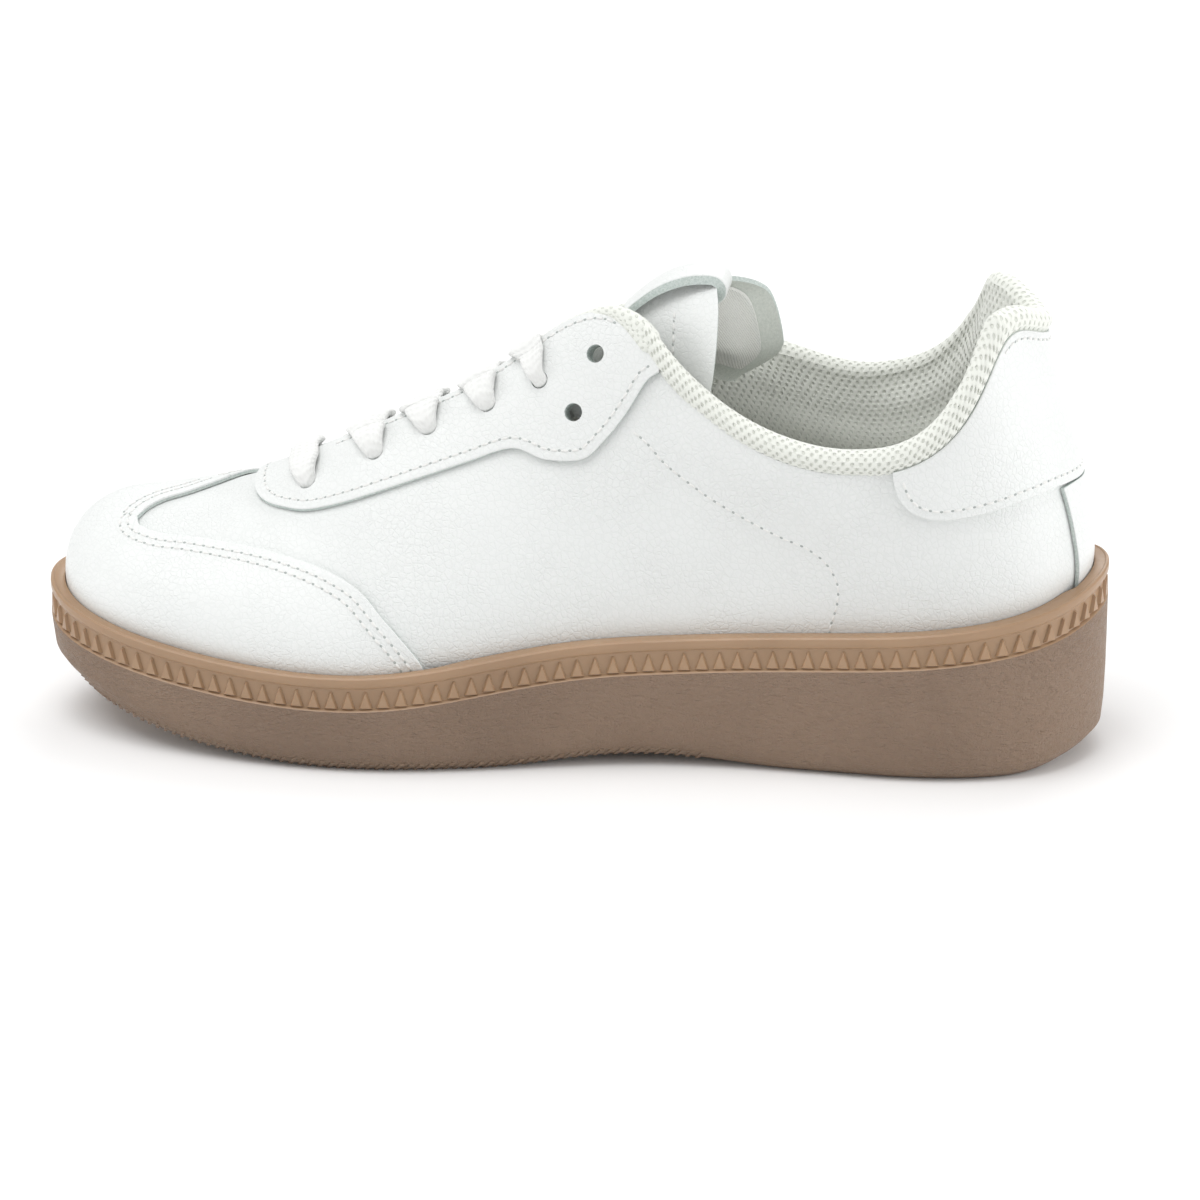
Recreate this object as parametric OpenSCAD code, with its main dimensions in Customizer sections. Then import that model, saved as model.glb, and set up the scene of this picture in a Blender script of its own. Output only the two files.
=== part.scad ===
// Court shoe, right foot, women's EU 38-39: cupsole, lasted upper, padded collar, laced throat.
// +X runs from toe to heel, +Y is the outer (lateral) side, +Z is up, and the ground is z = 0.

/* [Placement] */
// Shift along the shoe that centres the sole on the origin
centre_x = 0.27; // [-2:0.01:2]
// Shift across the shoe that centres the sole on the origin
centre_y = -0.92; // [-2:0.01:2]

/* [Sole] */
// How far the rubber wall stands out past the upper
wall_out = 4; // [3.5:0.25:4.5]
// Depth of the recessed band that holds the teeth
band_in = 1; // [0.5:0.25:1.25]
// Thickness of the rubber under the foam
floor_t = 5; // [4:0.5:6]
// Rise of the sole's underside at the tip of the toe
toe_spring = 12.8; // [10:0.2:14]
// Rise of the sole's underside at the back of the heel
heel_bevel = 3.5; // [2:0.5:4]
// Rise of the sole's underside under the arch
arch_rise = 2.6; // [1:0.2:3]

/* [Footbed] */
// Height of the foot above the ground at the heel
heel_seat = 27; // [25:0.5:29]
// Height of the foot above the ground at the ball
ball_seat = 15; // [14:0.5:16]
// Thickness of the insole board
board_t = 2; // [1.5:0.1:2.2]
// Thickness of the removable sockliner
sock_t = 4; // [3:0.5:5]

/* [Upper] */
// Thickness of every leather layer
leather = 1.2; // [1:0.05:1.2]
// Thickness of the stiffeners and of the linings
thin = 0.8; // [0.6:0.05:0.8]
// Air between sewn layers
gap = 0.25; // [0.2:0.05:0.3]

/* [Collar] */
// Thickness of the foam behind the collar lining
pad_t = 2.6; // [2:0.1:3]
// Half of the collar roll's height
roll_h = 3.2; // [2.8:0.1:3.4]
// Half of the collar roll's thickness at the heel
roll_back = 3.4; // [3:0.1:3.6]
// Half of the collar roll's thickness beside the tongue
roll_front = 2.4; // [2.2:0.1:2.6]

/* [Lacing] */
// Radius of each punched eyelet
eyelet_r = 2.25; // [2.2:0.05:2.5]
// Radius of the lace
lace_r = 1; // [0.9:0.05:1.2]
// Length of each aglet
aglet_l = 20; // [15:1:22]

/* [Tongue] */
// Thickness of the tongue's foam
tongue_pad = 2.4; // [2:0.1:2.6]
// Space between the fixed tongue and its free flap
flap_gap = 1.5; // [1.5:0.1:1.8]
// Thickness of the folded label strip
label_t = 1.8; // [1.2:0.1:2]
// Half of the label strip's width
label_half = 6; // [5:0.5:7]

/* [Hidden] */

// The last: one rib per row, from the toe tip along the inner side to the heel and back along
// the outer side. Foot of the rib x, y, z, then its crest x, y, z, then the reach of its curve
// out and up from the foot, and out and down from the crest.
LAST = [
    [-132, -5, 36, -110, 3, 56.5, 1.5, 12, 16, 1],
    [-129, -18, 34, -110, 3, 56.5, 1.5, 12, 17, 1],
    [-119.5, -28.5, 31, -107.5, 4, 56.6, 1.5, 13, 20, 1],
    [-103, -36.5, 28, -101, 5.5, 57, 2, 14, 26, 1],
    [-82, -42, 25.5, -91, 6, 58.3, 2.5, 15, 28, 1],
    [-61, -45, 24, -78, 4.5, 62.5, 2.5, 16, 25, 1],
    [-40, -44.5, 24.5, -61, -5, 73, 2, 18, 17, 4],
    [-18, -39.5, 28.5, -40, -7, 83, 1, 21, 15, 7],
    [4, -33.5, 32.2, -18, -8, 93.5, 0.5, 25, 13, 9],
    [26, -29.5, 33, 9, -9, 119, 0, 26, 10, 13],
    [48, -29, 34.5, 25, -20, 96.5, 0.5, 20, 6, 12],
    [68, -30.5, 36, 46, -30, 82, 1, 16, 2, 12],
    [87, -32, 37.5, 68, -34.5, 77.5, 1, 14, 1, 12],
    [104, -30, 39.5, 89, -34.5, 81, 1, 16, 1, 12],
    [117, -25, 42, 102, -31, 94, 1, 18, 1, 14],
    [125, -16.5, 44.5, 108, -23, 115, 1.5, 20, 1, 16],
    [129.8, -7, 47, 114, -12, 111, 2, 20, 1, 16],
    [130.8, 2, 48, 119.5, 0, 107, 2.5, 20, 0.5, 16],
    [128.3, 12, 47, 112.5, 12, 109.5, 2, 20, 1, 16],
    [122, 21, 44.5, 105.5, 22, 113.5, 1.5, 20, 1, 16],
    [112, 28.5, 41.5, 100, 31, 96, 1, 18, 1, 14],
    [97, 33, 38.5, 87, 34.5, 84, 1, 16, 1, 12],
    [79, 35, 36.5, 65, 35, 81, 1, 14, 1, 12],
    [59, 36, 35, 43, 31, 91, 1, 16, 2, 12],
    [37, 38, 33.5, 22, 20, 100, 0.5, 20, 6, 12],
    [14, 41, 31, 6, 9, 108, 0, 26, 12, 12],
    [-9, 44.5, 28, -18, 8, 90, 0.5, 25, 15, 9],
    [-32, 47, 25, -40, 7, 79.5, 1, 21, 17, 7],
    [-56, 46, 24, -61, 5, 70.5, 2, 18, 18, 4],
    [-78, 40.5, 25.5, -78, 4.5, 62.5, 2.5, 16, 15, 1],
    [-99, 32.5, 28, -91, 6, 58.3, 2.5, 15, 12, 1],
    [-116, 22, 31, -101, 5.5, 57, 2, 14, 9, 1],
    [-127.5, 9.5, 34, -107.5, 4, 56.6, 1.5, 13, 9, 1]
];
RIBS = len(LAST);
// Stations count ribs from the toe tip to the heel, the same on both sides
TOE = 0.5;
HEEL = 17;
THROAT = 5.3;
// A rib's height runs from 0 at the sole's lip to 1 at its crest, and below 0 inside the sole
HEM = -0.25;
HEM_TUCK = 2;
LINING_HEM = HEM + 0.05;

// Depths of the layers under the outermost surface
BASE_D = leather + gap;
STIFF_D = BASE_D + leather + gap;
LINING_D = STIFF_D + thin + gap;
FOAM_D = LINING_D;
PAD_LINING_D = FOAM_D + pad_t + gap;
ROLL_D = 2;
TONGUE_FOAM_D = leather + gap;
TONGUE_LINING_D = TONGUE_FOAM_D + tongue_pad + gap;

// Outlines of the overlays: station, then height on the rib or place across the toe
GUARD_NEAR = [[2.46, 0.69], [2.6, 0.65], [3.1, 0.625], [3.7, 0.62], [4.4, 0.585], [5, 0.525],
    [5.5, 0.44], [5.8, 0.355], [6, 0.235], [6.2, 0.115], [6.36, 0], [6.4, HEM - 0.02]];
GUARD_FAR = [[2.46, 1.3], [2.55, 1.23], [2.8, 1.16], [3.4, 1.09], [4, 1], [4.4, 0.88], [4.62, 0.78],
    [4.85, 0.68], [5.2, 0.57], [5.6, 0.42], [6, 0.2], [6.36, 0], [6.4, HEM - 0.02]];
GUARD_TIP = 2.46;
GUARD_END = 6.4;
STAY_EDGE = [[4.65, 1], [4.7, 0.85], [4.94, 0.755], [5.18, 0.705], [5.4, 0.68], [5.8, 0.672],
    [6.4, 0.675], [7.4, 0.672], [7.85, 0.655], [8.15, 0.57], [8.5, 0.53], [8.75, 0.56],
    [9, 0.61], [9.3, 0.7], [9.7, 0.87], [9.85, 0.95]];
STAY_FRONT = 4.7;
STAY_BACK = 9.85;
PATCH_EDGE = [[12.7, 0.95], [12.72, 0.78], [12.8, 0.7], [13, 0.635], [13.3, 0.59], [13.7, 0.54],
    [14.2, 0.48], [14.8, 0.42], [15.5, 0.39], [17, 0.38]];
PATCH_FRONT = 12.7;
BACKSTAY_FRONT = 15.5;
BACKSTAY_TOP = 0.37;
COLLAR_FRONT = 9.62;
COLLAR_STEPS = 36;
COUNTER_FRONT = 13;
COUNTER_TOP = 0.6;

// Eyelets: station, then height on the rib. The lace uses the first LACED of them.
EYELETS = [[5.52, 0.8], [6.44, 0.835], [7.1, 0.86], [7.77, 0.85], [8.3, 0.82], [8.9, 0.82], [8.53, 0.665]];
LACED = 5;

// The tongue: x, height of its crest, half width, depth of its arch, tilt, rear sweep outside
TONGUE = [[-74, 55.5, 16, 9, 0, 0], [-60, 62.3, 16.5, 14.5, 0.05, 0], [-40, 73, 17, 18, 0.2, 0],
    [-28, 78.8, 17, 19, 0.22, 0], [-17, 85.2, 15, 20, 0.3, 0], [-5, 94.2, 11, 20, 0.4, 0],
    [7, 103.8, 9.5, 20, 0.36, 0], [12, 107.3, 8.5, 20, 0.25, 0], [20, 111.3, 8.5, 20, 0.1, 2],
    [28, 114, 11.5, 19, 0, 5], [36, 115.5, 19, 18.5, 0, 12]];
FLAP_X = 11.75;
TONGUE_TOP = 36;

FACETS = 32;
// Steps along a whole rib
RIB_STEPS = 10;

// ---- Curves ----
function mix(a, b, k) = a + (b - a) * k;
function ease(a, b, x) = let (k = min(1, max(0, (x - a) / (b - a)))) k * k * (3 - 2 * k);
function backwards(list) = [for (i = [len(list) - 1 : -1 : 0]) list[i]];
function steps(a, b, n) = [for (i = [0 : n]) mix(a, b, i / n)];

// Rib at a place between two rows: a closed uniform cubic B-spline through the rows
function row(k) = LAST[((k % RIBS) + RIBS) % RIBS];
function rib(t) = let (i = floor(t), f = t - i)
    (pow(1 - f, 3) * row(i - 1) + (3 * pow(f, 3) - 6 * f * f + 4) * row(i)
    + (-3 * pow(f, 3) + 3 * f * f + 3 * f + 1) * row(i + 1) + pow(f, 3) * row(i + 2)) / 6;
function station(t) = let (u = ((t % RIBS) + RIBS) % RIBS)
    u < TOE ? 1 - u : u > HEEL ? 2 * HEEL - u : u;

// Level outward direction of the last's outline
function outward(t) =
    let (a = rib(t - 0.01), b = rib(t + 0.01), d = [b.x - a.x, b.y - a.y], l = norm(d))
    [d.y / l, -d.x / l, 0];
function shift(p) = [p.x + centre_x, p.y + centre_y, p.z];

// Both sides' crests meet on one line from the toe to the throat, and part behind it
function crest(t) =
    let (near = rib(t), far = rib(2 * HEEL - t), k = 1 - ease(THROAT, THROAT + 0.9, station(t)))
    mix([near[3], near[4], near[5]], [far[3], far[4], far[5]], k / 2);

// Height of the sole's underside, of the rubber floor and of the foot
function ground(x) =
    (x < -50 ? toe_spring * pow((x + 50) / 82, 2) : 0)
    + (x > -20 && x < 60 ? arch_rise * pow(cos((x - 20) / 40 * 90), 2) : 0)
    + (x > 112 ? heel_bevel * pow((x - 112) / 22, 2) : 0);
function seat(x) =
    mix(ball_seat, heel_seat, ease(-45, 62, x))
    + (x < -50 ? 9.4 * pow((x + 50) / 82, 2) : 0);

// Outermost surface of the upper: its hem inside the sole, and the curve above the lip
function hem(r, n, k) =
    shift([r.x, r.y, mix(r.z, seat(r.x) - board_t, k)] - n * HEM_TUCK * k * k);
function bow(a, b, c, d, v) =
    let (u = 1 - v) u * u * u * a + 3 * u * u * v * b + 3 * u * v * v * c + v * v * v * d;
function skin(t, v) =
    let (r = rib(t), n = outward(t), foot = [r.x, r.y, r.z], top = crest(t))
    v < 0
    ? hem(r, n, v / HEM)
    : shift(bow(foot, foot + n * r[6] + [0, 0, r[7]], top + n * r[8] - [0, 0, r[9]], top, v));
function normal(t, v) =
    v <= 0 ? outward(t) :
    let (w = min(v, 0.97), along = skin(t + 0.02, w) - skin(t - 0.02, w),
        up = skin(t, w + 0.01) - skin(t, w - 0.01), c = cross(along, up))
    c / norm(c);
function inward(t, v, depth) = skin(t, v) - normal(t, v) * depth;
// Point at a depth under the outermost surface, the same from both sides where their crests meet
function at(t, v, depth) = v == 1 && station(t) <= THROAT
    ? (inward(t, 1, depth) + inward(2 * HEEL - t, 1, depth)) / 2
    : inward(t, v, depth);
// The same, counted across the toe: 0 at the outer lip, 1 on the crest line, 2 at the inner lip
function across(s, w, depth) = w < 1 ? at(2 * HEEL - s, w, depth) : at(s, 2 - w, depth);

// Rings of sheets: along the outer face and back along the inner face
function rib_ring(t, low, high, d, thick, n = RIB_STEPS) =
    concat([for (v = steps(low, high, n)) at(t, v, d)], [for (v = steps(high, low, n)) at(t, v, d + thick)]);
function arch_ring(s, low, high, d, thick, n = 2 * RIB_STEPS) =
    concat([for (w = steps(high, low, n)) across(s, w, d)],
        [for (w = steps(low, high, n)) across(s, w, d + thick)]);

// ---- Solids ----
// Closed solid through rings of equally many points. A pinched first ring is folded flat on
// itself, so its two halves share their points.
module loft(rings, closed = false, pinched = false) {
    n = len(rings[0]);
    m = len(rings);
    half = n / 2;
    last = closed ? m - 1 : m - 2;
    function id(i, k) = let (path = k < half ? 0 : half, j = k - path)
        i * n + (pinched && i == 0 && j > (half - 1) / 2 ? path + half - 1 - j : k);
    walls = [for (i = [0 : last], k = [0 : n - 1])
        let (a = id(i, k), b = id(i, (k + 1) % n), c = id((i + 1) % m, (k + 1) % n), d = id((i + 1) % m, k))
        each [if (a != b) [a, b, c], [a, c, d]]];
    caps = closed ? [] : [for (k = [0 : half - 2]) let (p = n - 1 - k, e = (m - 1) * n)
        each [if (!pinched) each [[k + 1, k, p], [k + 1, p, p - 1]],
            [e + k, e + k + 1, e + p], [e + k + 1, e + p - 1, e + p]]];
    polyhedron(points = [for (r = rings) each r], faces = concat(walls, caps), convexity = 10);
}

// Sheet across the toe, from station a to station b
module arch_sheet(a, b, low, high, d, thick, n = 12) {
    loft([for (s = steps(a, b, n)) arch_ring(s, low, high, d, thick)], pinched = a == TOE);
}

// Side 1 is the inner side, side -1 the outer one
function side_rib(side, s) = side > 0 ? s : 2 * HEEL - s;
// Sheet along one side between two stations
function side_ring(side, s, low, high, d, thick, n = RIB_STEPS) =
    side > 0 ? rib_ring(s, low, high, d, thick, n) : rib_ring(2 * HEEL - s, high, low, d, thick, n);
module side_sheet(side, a, b, low, high, d, thick, n = 12, across_n = RIB_STEPS) {
    loft([for (s = steps(a, b, n)) side_ring(side, s, low, high, d, thick, across_n)]);
}

// Level plate that fills the sole's outline
function edge_point(t, inset) = shift(rib(t)) - outward(t) * inset;
function plate_line(s, inset, lift) =
    let (a = edge_point(s, inset), b = edge_point(2 * HEEL - s, inset))
    [for (k = steps(0, 1, 4)) let (p = mix(a, b, k)) [p.x, p.y, lift(p.x)]];
module plate(inset, top, bottom, a = 0.7, b = 16.8, n = 22) {
    loft([for (s = steps(a, b, n))
        concat(plate_line(s, inset, top), backwards(plate_line(s, inset, bottom)))]);
}

// Straight rod between two points
module rod(a, b, r) {
    d = b - a;
    translate(a) rotate([0, acos(d.z / norm(d)), atan2(d.y, d.x)]) cylinder(h = norm(d), r = r, $fn = FACETS);
}

// Punched eyelets through every layer of one side, or of both
module eyelets(side) {
    for (e = EYELETS) {
        t = side_rib(side, e[0]);
        rod(at(t, e[1], -3), at(t, e[1], 9), eyelet_r);
    }
}

// ---- Sole ----
// Inner face of the rubber wall, tighter where no overlay runs down behind it
BACKSTAY_FOOT = 15.4;
function bare(s) = ease(GUARD_END, GUARD_END + 0.5, s) * (1 - ease(BACKSTAY_FOOT - 0.5, BACKSTAY_FOOT, s));
function cup_in(t) = 0.25 - BASE_D * bare(station(t));
function sole_point(t, out, z) = let (p = edge_point(t, -out)) [p.x, p.y, z];
function tread_point(t, out, lift) = let (p = edge_point(t, -out)) [p.x, p.y, ground(p.x) + lift];
// The wall rolls under further at the toe and the heel
TOE_ROLL = 4;
HEEL_ROLL = 2;
// The band of the teeth, down from the lip, and how far in the wall's foot reaches
BAND_TOP = 3;
BAND_FOOT = 7.4;
FLOOR_IN = -12;
function toe_roll(x) = TOE_ROLL * pow(min(1, max(0, (-x - 90) / 40)), 2);
function heel_roll(x) = HEEL_ROLL * pow(min(1, max(0, (x - 105) / 25)), 2);
function sole_ring(t) =
    let (lip = rib(t).z, x = rib(t).x, toe = toe_roll(x), roll = toe + heel_roll(x))
    concat([
        sole_point(t, wall_out - 0.8, lip + 0.8),
        sole_point(t, wall_out, lip - 0.4),
        sole_point(t, wall_out, lip - BAND_TOP + 0.8),
        sole_point(t, wall_out - band_in, lip - BAND_TOP),
        sole_point(t, wall_out - band_in, lip - BAND_FOOT),
        sole_point(t, wall_out, lip - BAND_FOOT - 0.8),
        sole_point(t, wall_out - toe * 0.2, (lip - BAND_FOOT - 0.8 + ground(x)) / 2),
        tread_point(t, wall_out - 0.6 - toe * 0.8, 4.5),
        tread_point(t, wall_out - 2.8 - roll, 1),
        tread_point(t, wall_out - 5.5 - roll, 0),
        tread_point(t, FLOOR_IN, 0),
        tread_point(t, FLOOR_IN, floor_t)
    ], [for (k = steps(1, 0, 4)) let (p = edge_point(t, k / 2 - cup_in(t)))
        [p.x, p.y, mix(lip + 0.8, ground(p.x) + floor_t, k)]]);
module outsole() {
    color("#8c7362") {
        loft([for (t = [0 : 0.5 : RIBS - 0.5]) backwards(sole_ring(t))], closed = true);
        // The floor, which overlaps the wall's foot all round
        plate(-FLOOR_IN - 3, function (x) ground(x) + floor_t, function (x) ground(x), 1.2, 16.4);
    }
}
FOAM_IN = 3;
BOARD_INSET = 9;
module midsole_foam() {
    color("#e8e4da")
        plate(FOAM_IN, function (x) seat(x) - board_t - gap, function (x) ground(x) + floor_t + gap);
}
module insole_board() {
    color("#c9b48c") plate(BOARD_INSET, function (x) seat(x), function (x) seat(x) - board_t);
}
module sockliner() {
    color("#d9d6cd")
        plate(BOARD_INSET + gap, function (x) seat(x) + gap + sock_t, function (x) seat(x) + gap);
}

// ---- Leather ----
module base_upper() {
    color("#e6e7e6") difference() {
        union() {
            arch_sheet(TOE, THROAT, HEM, 2 - HEM, BASE_D, leather, 14);
            for (side = [1, -1]) side_sheet(side, THROAT, HEEL - 0.02, HEM, 1, BASE_D, leather, 26);
        }
        for (side = [1, -1]) eyelets(side);
    }
}
WINDOW_CUT = 3;
module mudguard() {
    color("#f2f2f1") difference() {
        arch_sheet(TOE, GUARD_END, HEM, 2 - HEM, 0, leather, 18);
        // The window behind its edge, cut well above and below the sheet
        loft([for (s = concat([for (p = GUARD_NEAR) p[0]], [GUARD_END + 0.1]))
            arch_ring(s, lookup(s, GUARD_FAR), 2 - lookup(s, GUARD_NEAR),
                -WINDOW_CUT, leather + 2 * WINDOW_CUT)]);
    }
}
module eyestay() {
    color("#f4f4f3") difference() {
        union() {
            loft([for (s = steps(STAY_FRONT, THROAT, 8)) let (e = lookup(s, STAY_EDGE))
                arch_ring(s, e, 2 - e, 0, leather, 12)]);
            for (side = [1, -1]) loft([for (s = steps(THROAT, STAY_BACK, 22))
                side_ring(side, s, lookup(s, STAY_EDGE), 1, 0, leather, 6)]);
        }
        for (side = [1, -1]) eyelets(side);
    }
}
module heel_patch() {
    color("#f4f4f3") loft([for (t = steps(PATCH_FRONT, 2 * HEEL - PATCH_FRONT, 24))
        rib_ring(t, lookup(station(t), PATCH_EDGE), 0.995, 0, leather)]);
}
module backstay() {
    color("#f0f0ef") loft([for (t = steps(BACKSTAY_FRONT, 2 * HEEL - BACKSTAY_FRONT, 6))
        rib_ring(t, HEM, BACKSTAY_TOP, 0, leather, 5)]);
}

// ---- Stiffeners and linings ----
module toe_puff() {
    color("#b9b6ae") arch_sheet(TOE, 2.6, LINING_HEM, 2 - LINING_HEM, STIFF_D, thin, 6);
}
module heel_counter() {
    color("#b9b6ae") loft([for (t = steps(COUNTER_FRONT, 2 * HEEL - COUNTER_FRONT, 18))
        rib_ring(t, LINING_HEM, COUNTER_TOP, STIFF_D, thin, 7)]);
}
// Strips behind the eyelets: where they end, and the heights they lie between
STRIP_BACK = 9.3;
STRIP_LOW = 0.67;
STRIP_HIGH = 0.965;
module eyelet_stay(side) {
    color("#d8d6cf") difference() {
        side_sheet(side, THROAT + 0.1, STRIP_BACK, STRIP_LOW, STRIP_HIGH,
            STIFF_D + gap / 2, thin - gap, 9, 3);
        eyelets(side);
    }
}
module eyelet_stay_medial() {
    eyelet_stay(1);
}
module eyelet_stay_lateral() {
    eyelet_stay(-1);
}
module vamp_lining() {
    color("#d5d8d2") difference() {
        union() {
            arch_sheet(TOE, THROAT, LINING_HEM, 2 - LINING_HEM, LINING_D, thin, 8);
            for (side = [1, -1])
                side_sheet(side, THROAT, COLLAR_FRONT - 0.05, LINING_HEM, 1, LINING_D, thin, 12);
        }
        for (side = [1, -1]) eyelets(side);
    }
}

// Point on the collar roll, by angle from its outer side, and how far in from its skin
function roll_point(t, angle, inset) =
    let (n = outward(t), top = shift(crest(t)),
        thick = mix(roll_front, roll_back, ease(COLLAR_FRONT, COLLAR_FRONT + 2.4, station(t))))
    top - n * (ROLL_D + thick) + [0, 0, roll_h - 0.9]
    + n * (thick - inset) * cos(angle) + [0, 0, (roll_h - inset) * sin(angle)];
FOAM_INSET = thin + 2 * gap;
function collar_foam_ring(t) = concat(
    [for (v = [0.66, 0.78, 0.88]) at(t, v, FOAM_D),
        for (a = [-40, 20, 80]) roll_point(t, a, FOAM_INSET)],
    [for (a = [110, 150, 190]) roll_point(t, a, FOAM_INSET),
        for (v = [0.9, 0.78, 0.66]) at(t, v, FOAM_D + pad_t)]);
// Depth of the collar lining: over the foam above, close to the counter below
function collar_depth(v) = mix(LINING_D, PAD_LINING_D, ease(0.5, 0.64, v));
function collar_lining_path(t, inset) = concat(
    [for (v = [0.86, 0.93]) at(t, v, STIFF_D + inset)],
    [for (a = [-45, -15, 20, 55, 90, 125, 160, 195]) roll_point(t, a, inset)],
    [for (v = [0.9, 0.78, 0.66, 0.58, 0.4, 0.2, 0, LINING_HEM])
        at(t, v, collar_depth(v) + thin - inset)]);
module collar_foam() {
    color("#e9e5cf")
        loft([for (t = steps(COLLAR_FRONT + 0.1, 2 * HEEL - COLLAR_FRONT - 0.1, COLLAR_STEPS))
            collar_foam_ring(t)]);
}
module collar_lining() {
    color("#cfd2c8") loft([for (t = steps(COLLAR_FRONT, 2 * HEEL - COLLAR_FRONT, COLLAR_STEPS))
        concat(collar_lining_path(t, 0), backwards(collar_lining_path(t, thin)))]);
}

// ---- Tongue ----
function tongue_value(x, k) = lookup(x, [for (r = TONGUE) [r[0], r[k]]]);
// Point on the tongue: q runs from -1 at the inner edge over 0 on the crest to 1 at the outer edge
function tongue_point(x, q, depth) =
    let (a = 90 * q, half = tongue_value(x, 2), drop = tongue_value(x, 3))
    shift([x + (q > 0 ? tongue_value(x, 5) * (1 - cos(a)) : 0), (half - depth) * sin(a),
        tongue_value(x, 1) - drop + (drop - depth) * cos(a) - tongue_value(x, 4) * half * sin(a)]);
module tongue_layer(x0, x1, d, thick, reach = 1, n = 10) {
    loft([for (x = steps(x0, x1, n)) concat(
        [for (q = steps(-reach, reach, 10)) tongue_point(x, q, d)],
        [for (q = steps(reach, -reach, 10)) tongue_point(x, q, d + thick)])]);
}
TONGUE_END = FLAP_X - flap_gap / 2;
FLAP_START = FLAP_X + flap_gap / 2;
module tongue_face() {
    color("#efefee") tongue_layer(-74, TONGUE_END, 0, leather);
}
module tongue_foam() {
    color("#e9e5cf") tongue_layer(-72, TONGUE_END, TONGUE_FOAM_D, tongue_pad);
}
module tongue_lining() {
    color("#d5d8d2") tongue_layer(-74, TONGUE_END, TONGUE_LINING_D, thin);
}
module flap_face() {
    color("#efefee") tongue_layer(FLAP_START, TONGUE_TOP, 0, leather, 1, 6);
}
module flap_foam() {
    color("#e9e5cf") tongue_layer(FLAP_START, TONGUE_TOP, TONGUE_FOAM_D, tongue_pad, 1, 6);
}
module flap_lining() {
    color("#d5d8d2") tongue_layer(FLAP_START, TONGUE_TOP, TONGUE_LINING_D, thin, 1, 6);
}
LABEL_LIFT = 1.5 * gap;
module tongue_label() {
    color("#f4f4f3") loft([for (x = steps(FLAP_START, TONGUE_TOP + 0.5, 5))
        let (reach = asin(label_half / tongue_value(x, 2)) / 90)
        concat([for (q = steps(-reach, reach, 4)) tongue_point(x, q, -LABEL_LIFT - label_t)],
            [for (q = steps(reach, -reach, 4)) tongue_point(x, q, -LABEL_LIFT)])]);
}

// ---- Lace ----
// Over the margin and down through eyelet k of one side, ending under the lining
function dive(side, k) = let (t = side_rib(side, EYELETS[k][0]), v = EYELETS[k][1])
    [at(t, v + 0.08, -2), at(t, v + 0.04, -2.1), at(t, v + 0.014, -1.6), at(t, v, 0.6), at(t, v, 4.2),
        at(t, v + 0.01, 5.9), at(t, v + 0.05, 5.9)];
// Out from under the edge of the other side, up through the throat and over the near edge
function throat_leg(side, k) =
    let (far = side_rib(-side, mix(EYELETS[k - 1][0], EYELETS[k][0], 0.5)),
        near = side_rib(side, EYELETS[k][0] - 0.12))
    [at(far, 0.985, 6.2), mix(at(far, 1, 5.6), at(near, 1, 5.6), 0.16),
        mix(at(far, 1, -1.3), at(near, 1, -1.3), 0.8), at(near, 0.975, -2.4)];
function bar_leg(side) = [at(side_rib(side, EYELETS[0][0]), 0.975, -2.4)];
function lace_leg(side, k) = concat(k == 0 ? bar_leg(side) : throat_leg(side, k), dive(side, k));
// Where the lace goes: out from one tucked end, up the rows, across the bar and back
function zigzag(side) = [for (k = [LACED - 1 : -1 : 0])
    each backwards(lace_leg(k % 2 == 0 ? side : -side, k))];
// The tucked end runs down inside the quarter, from and to a station, height and depth
TAIL_START = [8.4, 0.76, 6.4];
TAIL_END = [8.8, 0.52, 7.6];
function tail(side) = [for (k = steps(0, 1, 4)) let (p = mix(TAIL_START, TAIL_END, k))
    at(side_rib(side, p[0]), p[1], p[2])];
ROUTE = concat(backwards(tail(1)), zigzag(1), backwards(zigzag(-1)), tail(-1));
module tube(path, r, sides = 6) {
    m = len(path);
    dirs = [for (i = [0 : m - 1]) let (d = path[min(m - 1, i + 1)] - path[max(0, i - 1)]) d / norm(d)];
    // Carries the first side vector along the path without twist
    function carry(i, u) = let (w = u - dirs[i] * (u * dirs[i]), n = w / norm(w))
        i == m - 1 ? [n] : concat([n], carry(i + 1, n));
    sidev = carry(0, [0, 1, 0]);
    loft([for (i = [0 : m - 1]) let (up = cross(dirs[i], sidev[i]))
        [for (k = [0 : sides - 1]) let (a = 360 * k / sides)
            path[i] + r * (cos(a) * sidev[i] - sin(a) * up)]]);
}
module lace() {
    color("#f3f0e6") tube(ROUTE, lace_r);
}
module aglet(side) {
    end = tail(side);
    way = (end[4] - end[3]) / norm(end[4] - end[3]);
    color("#e8e8e4") rod(end[4] + way * gap, end[4] + way * (gap + aglet_l), lace_r);
}
module aglet_medial() {
    aglet(1);
}
module aglet_lateral() {
    aglet(-1);
}

outsole();
midsole_foam();
insole_board();
sockliner();
base_upper();
mudguard();
eyestay();
heel_patch();
backstay();
toe_puff();
heel_counter();
eyelet_stay_medial();
eyelet_stay_lateral();
vamp_lining();
collar_foam();
collar_lining();
tongue_face();
tongue_foam();
tongue_lining();
flap_face();
flap_foam();
flap_lining();
tongue_label();
lace();
aglet_medial();
aglet_lateral();
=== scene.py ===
"""The looks of the court shoe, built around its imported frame.

The upper's surface is a last: ribs t round the shoe, and heights v from the sole's lip to the
crest. Every layer lies at a depth under it. Lengths are in millimetres until a mesh is made.
"""

import math

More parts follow.
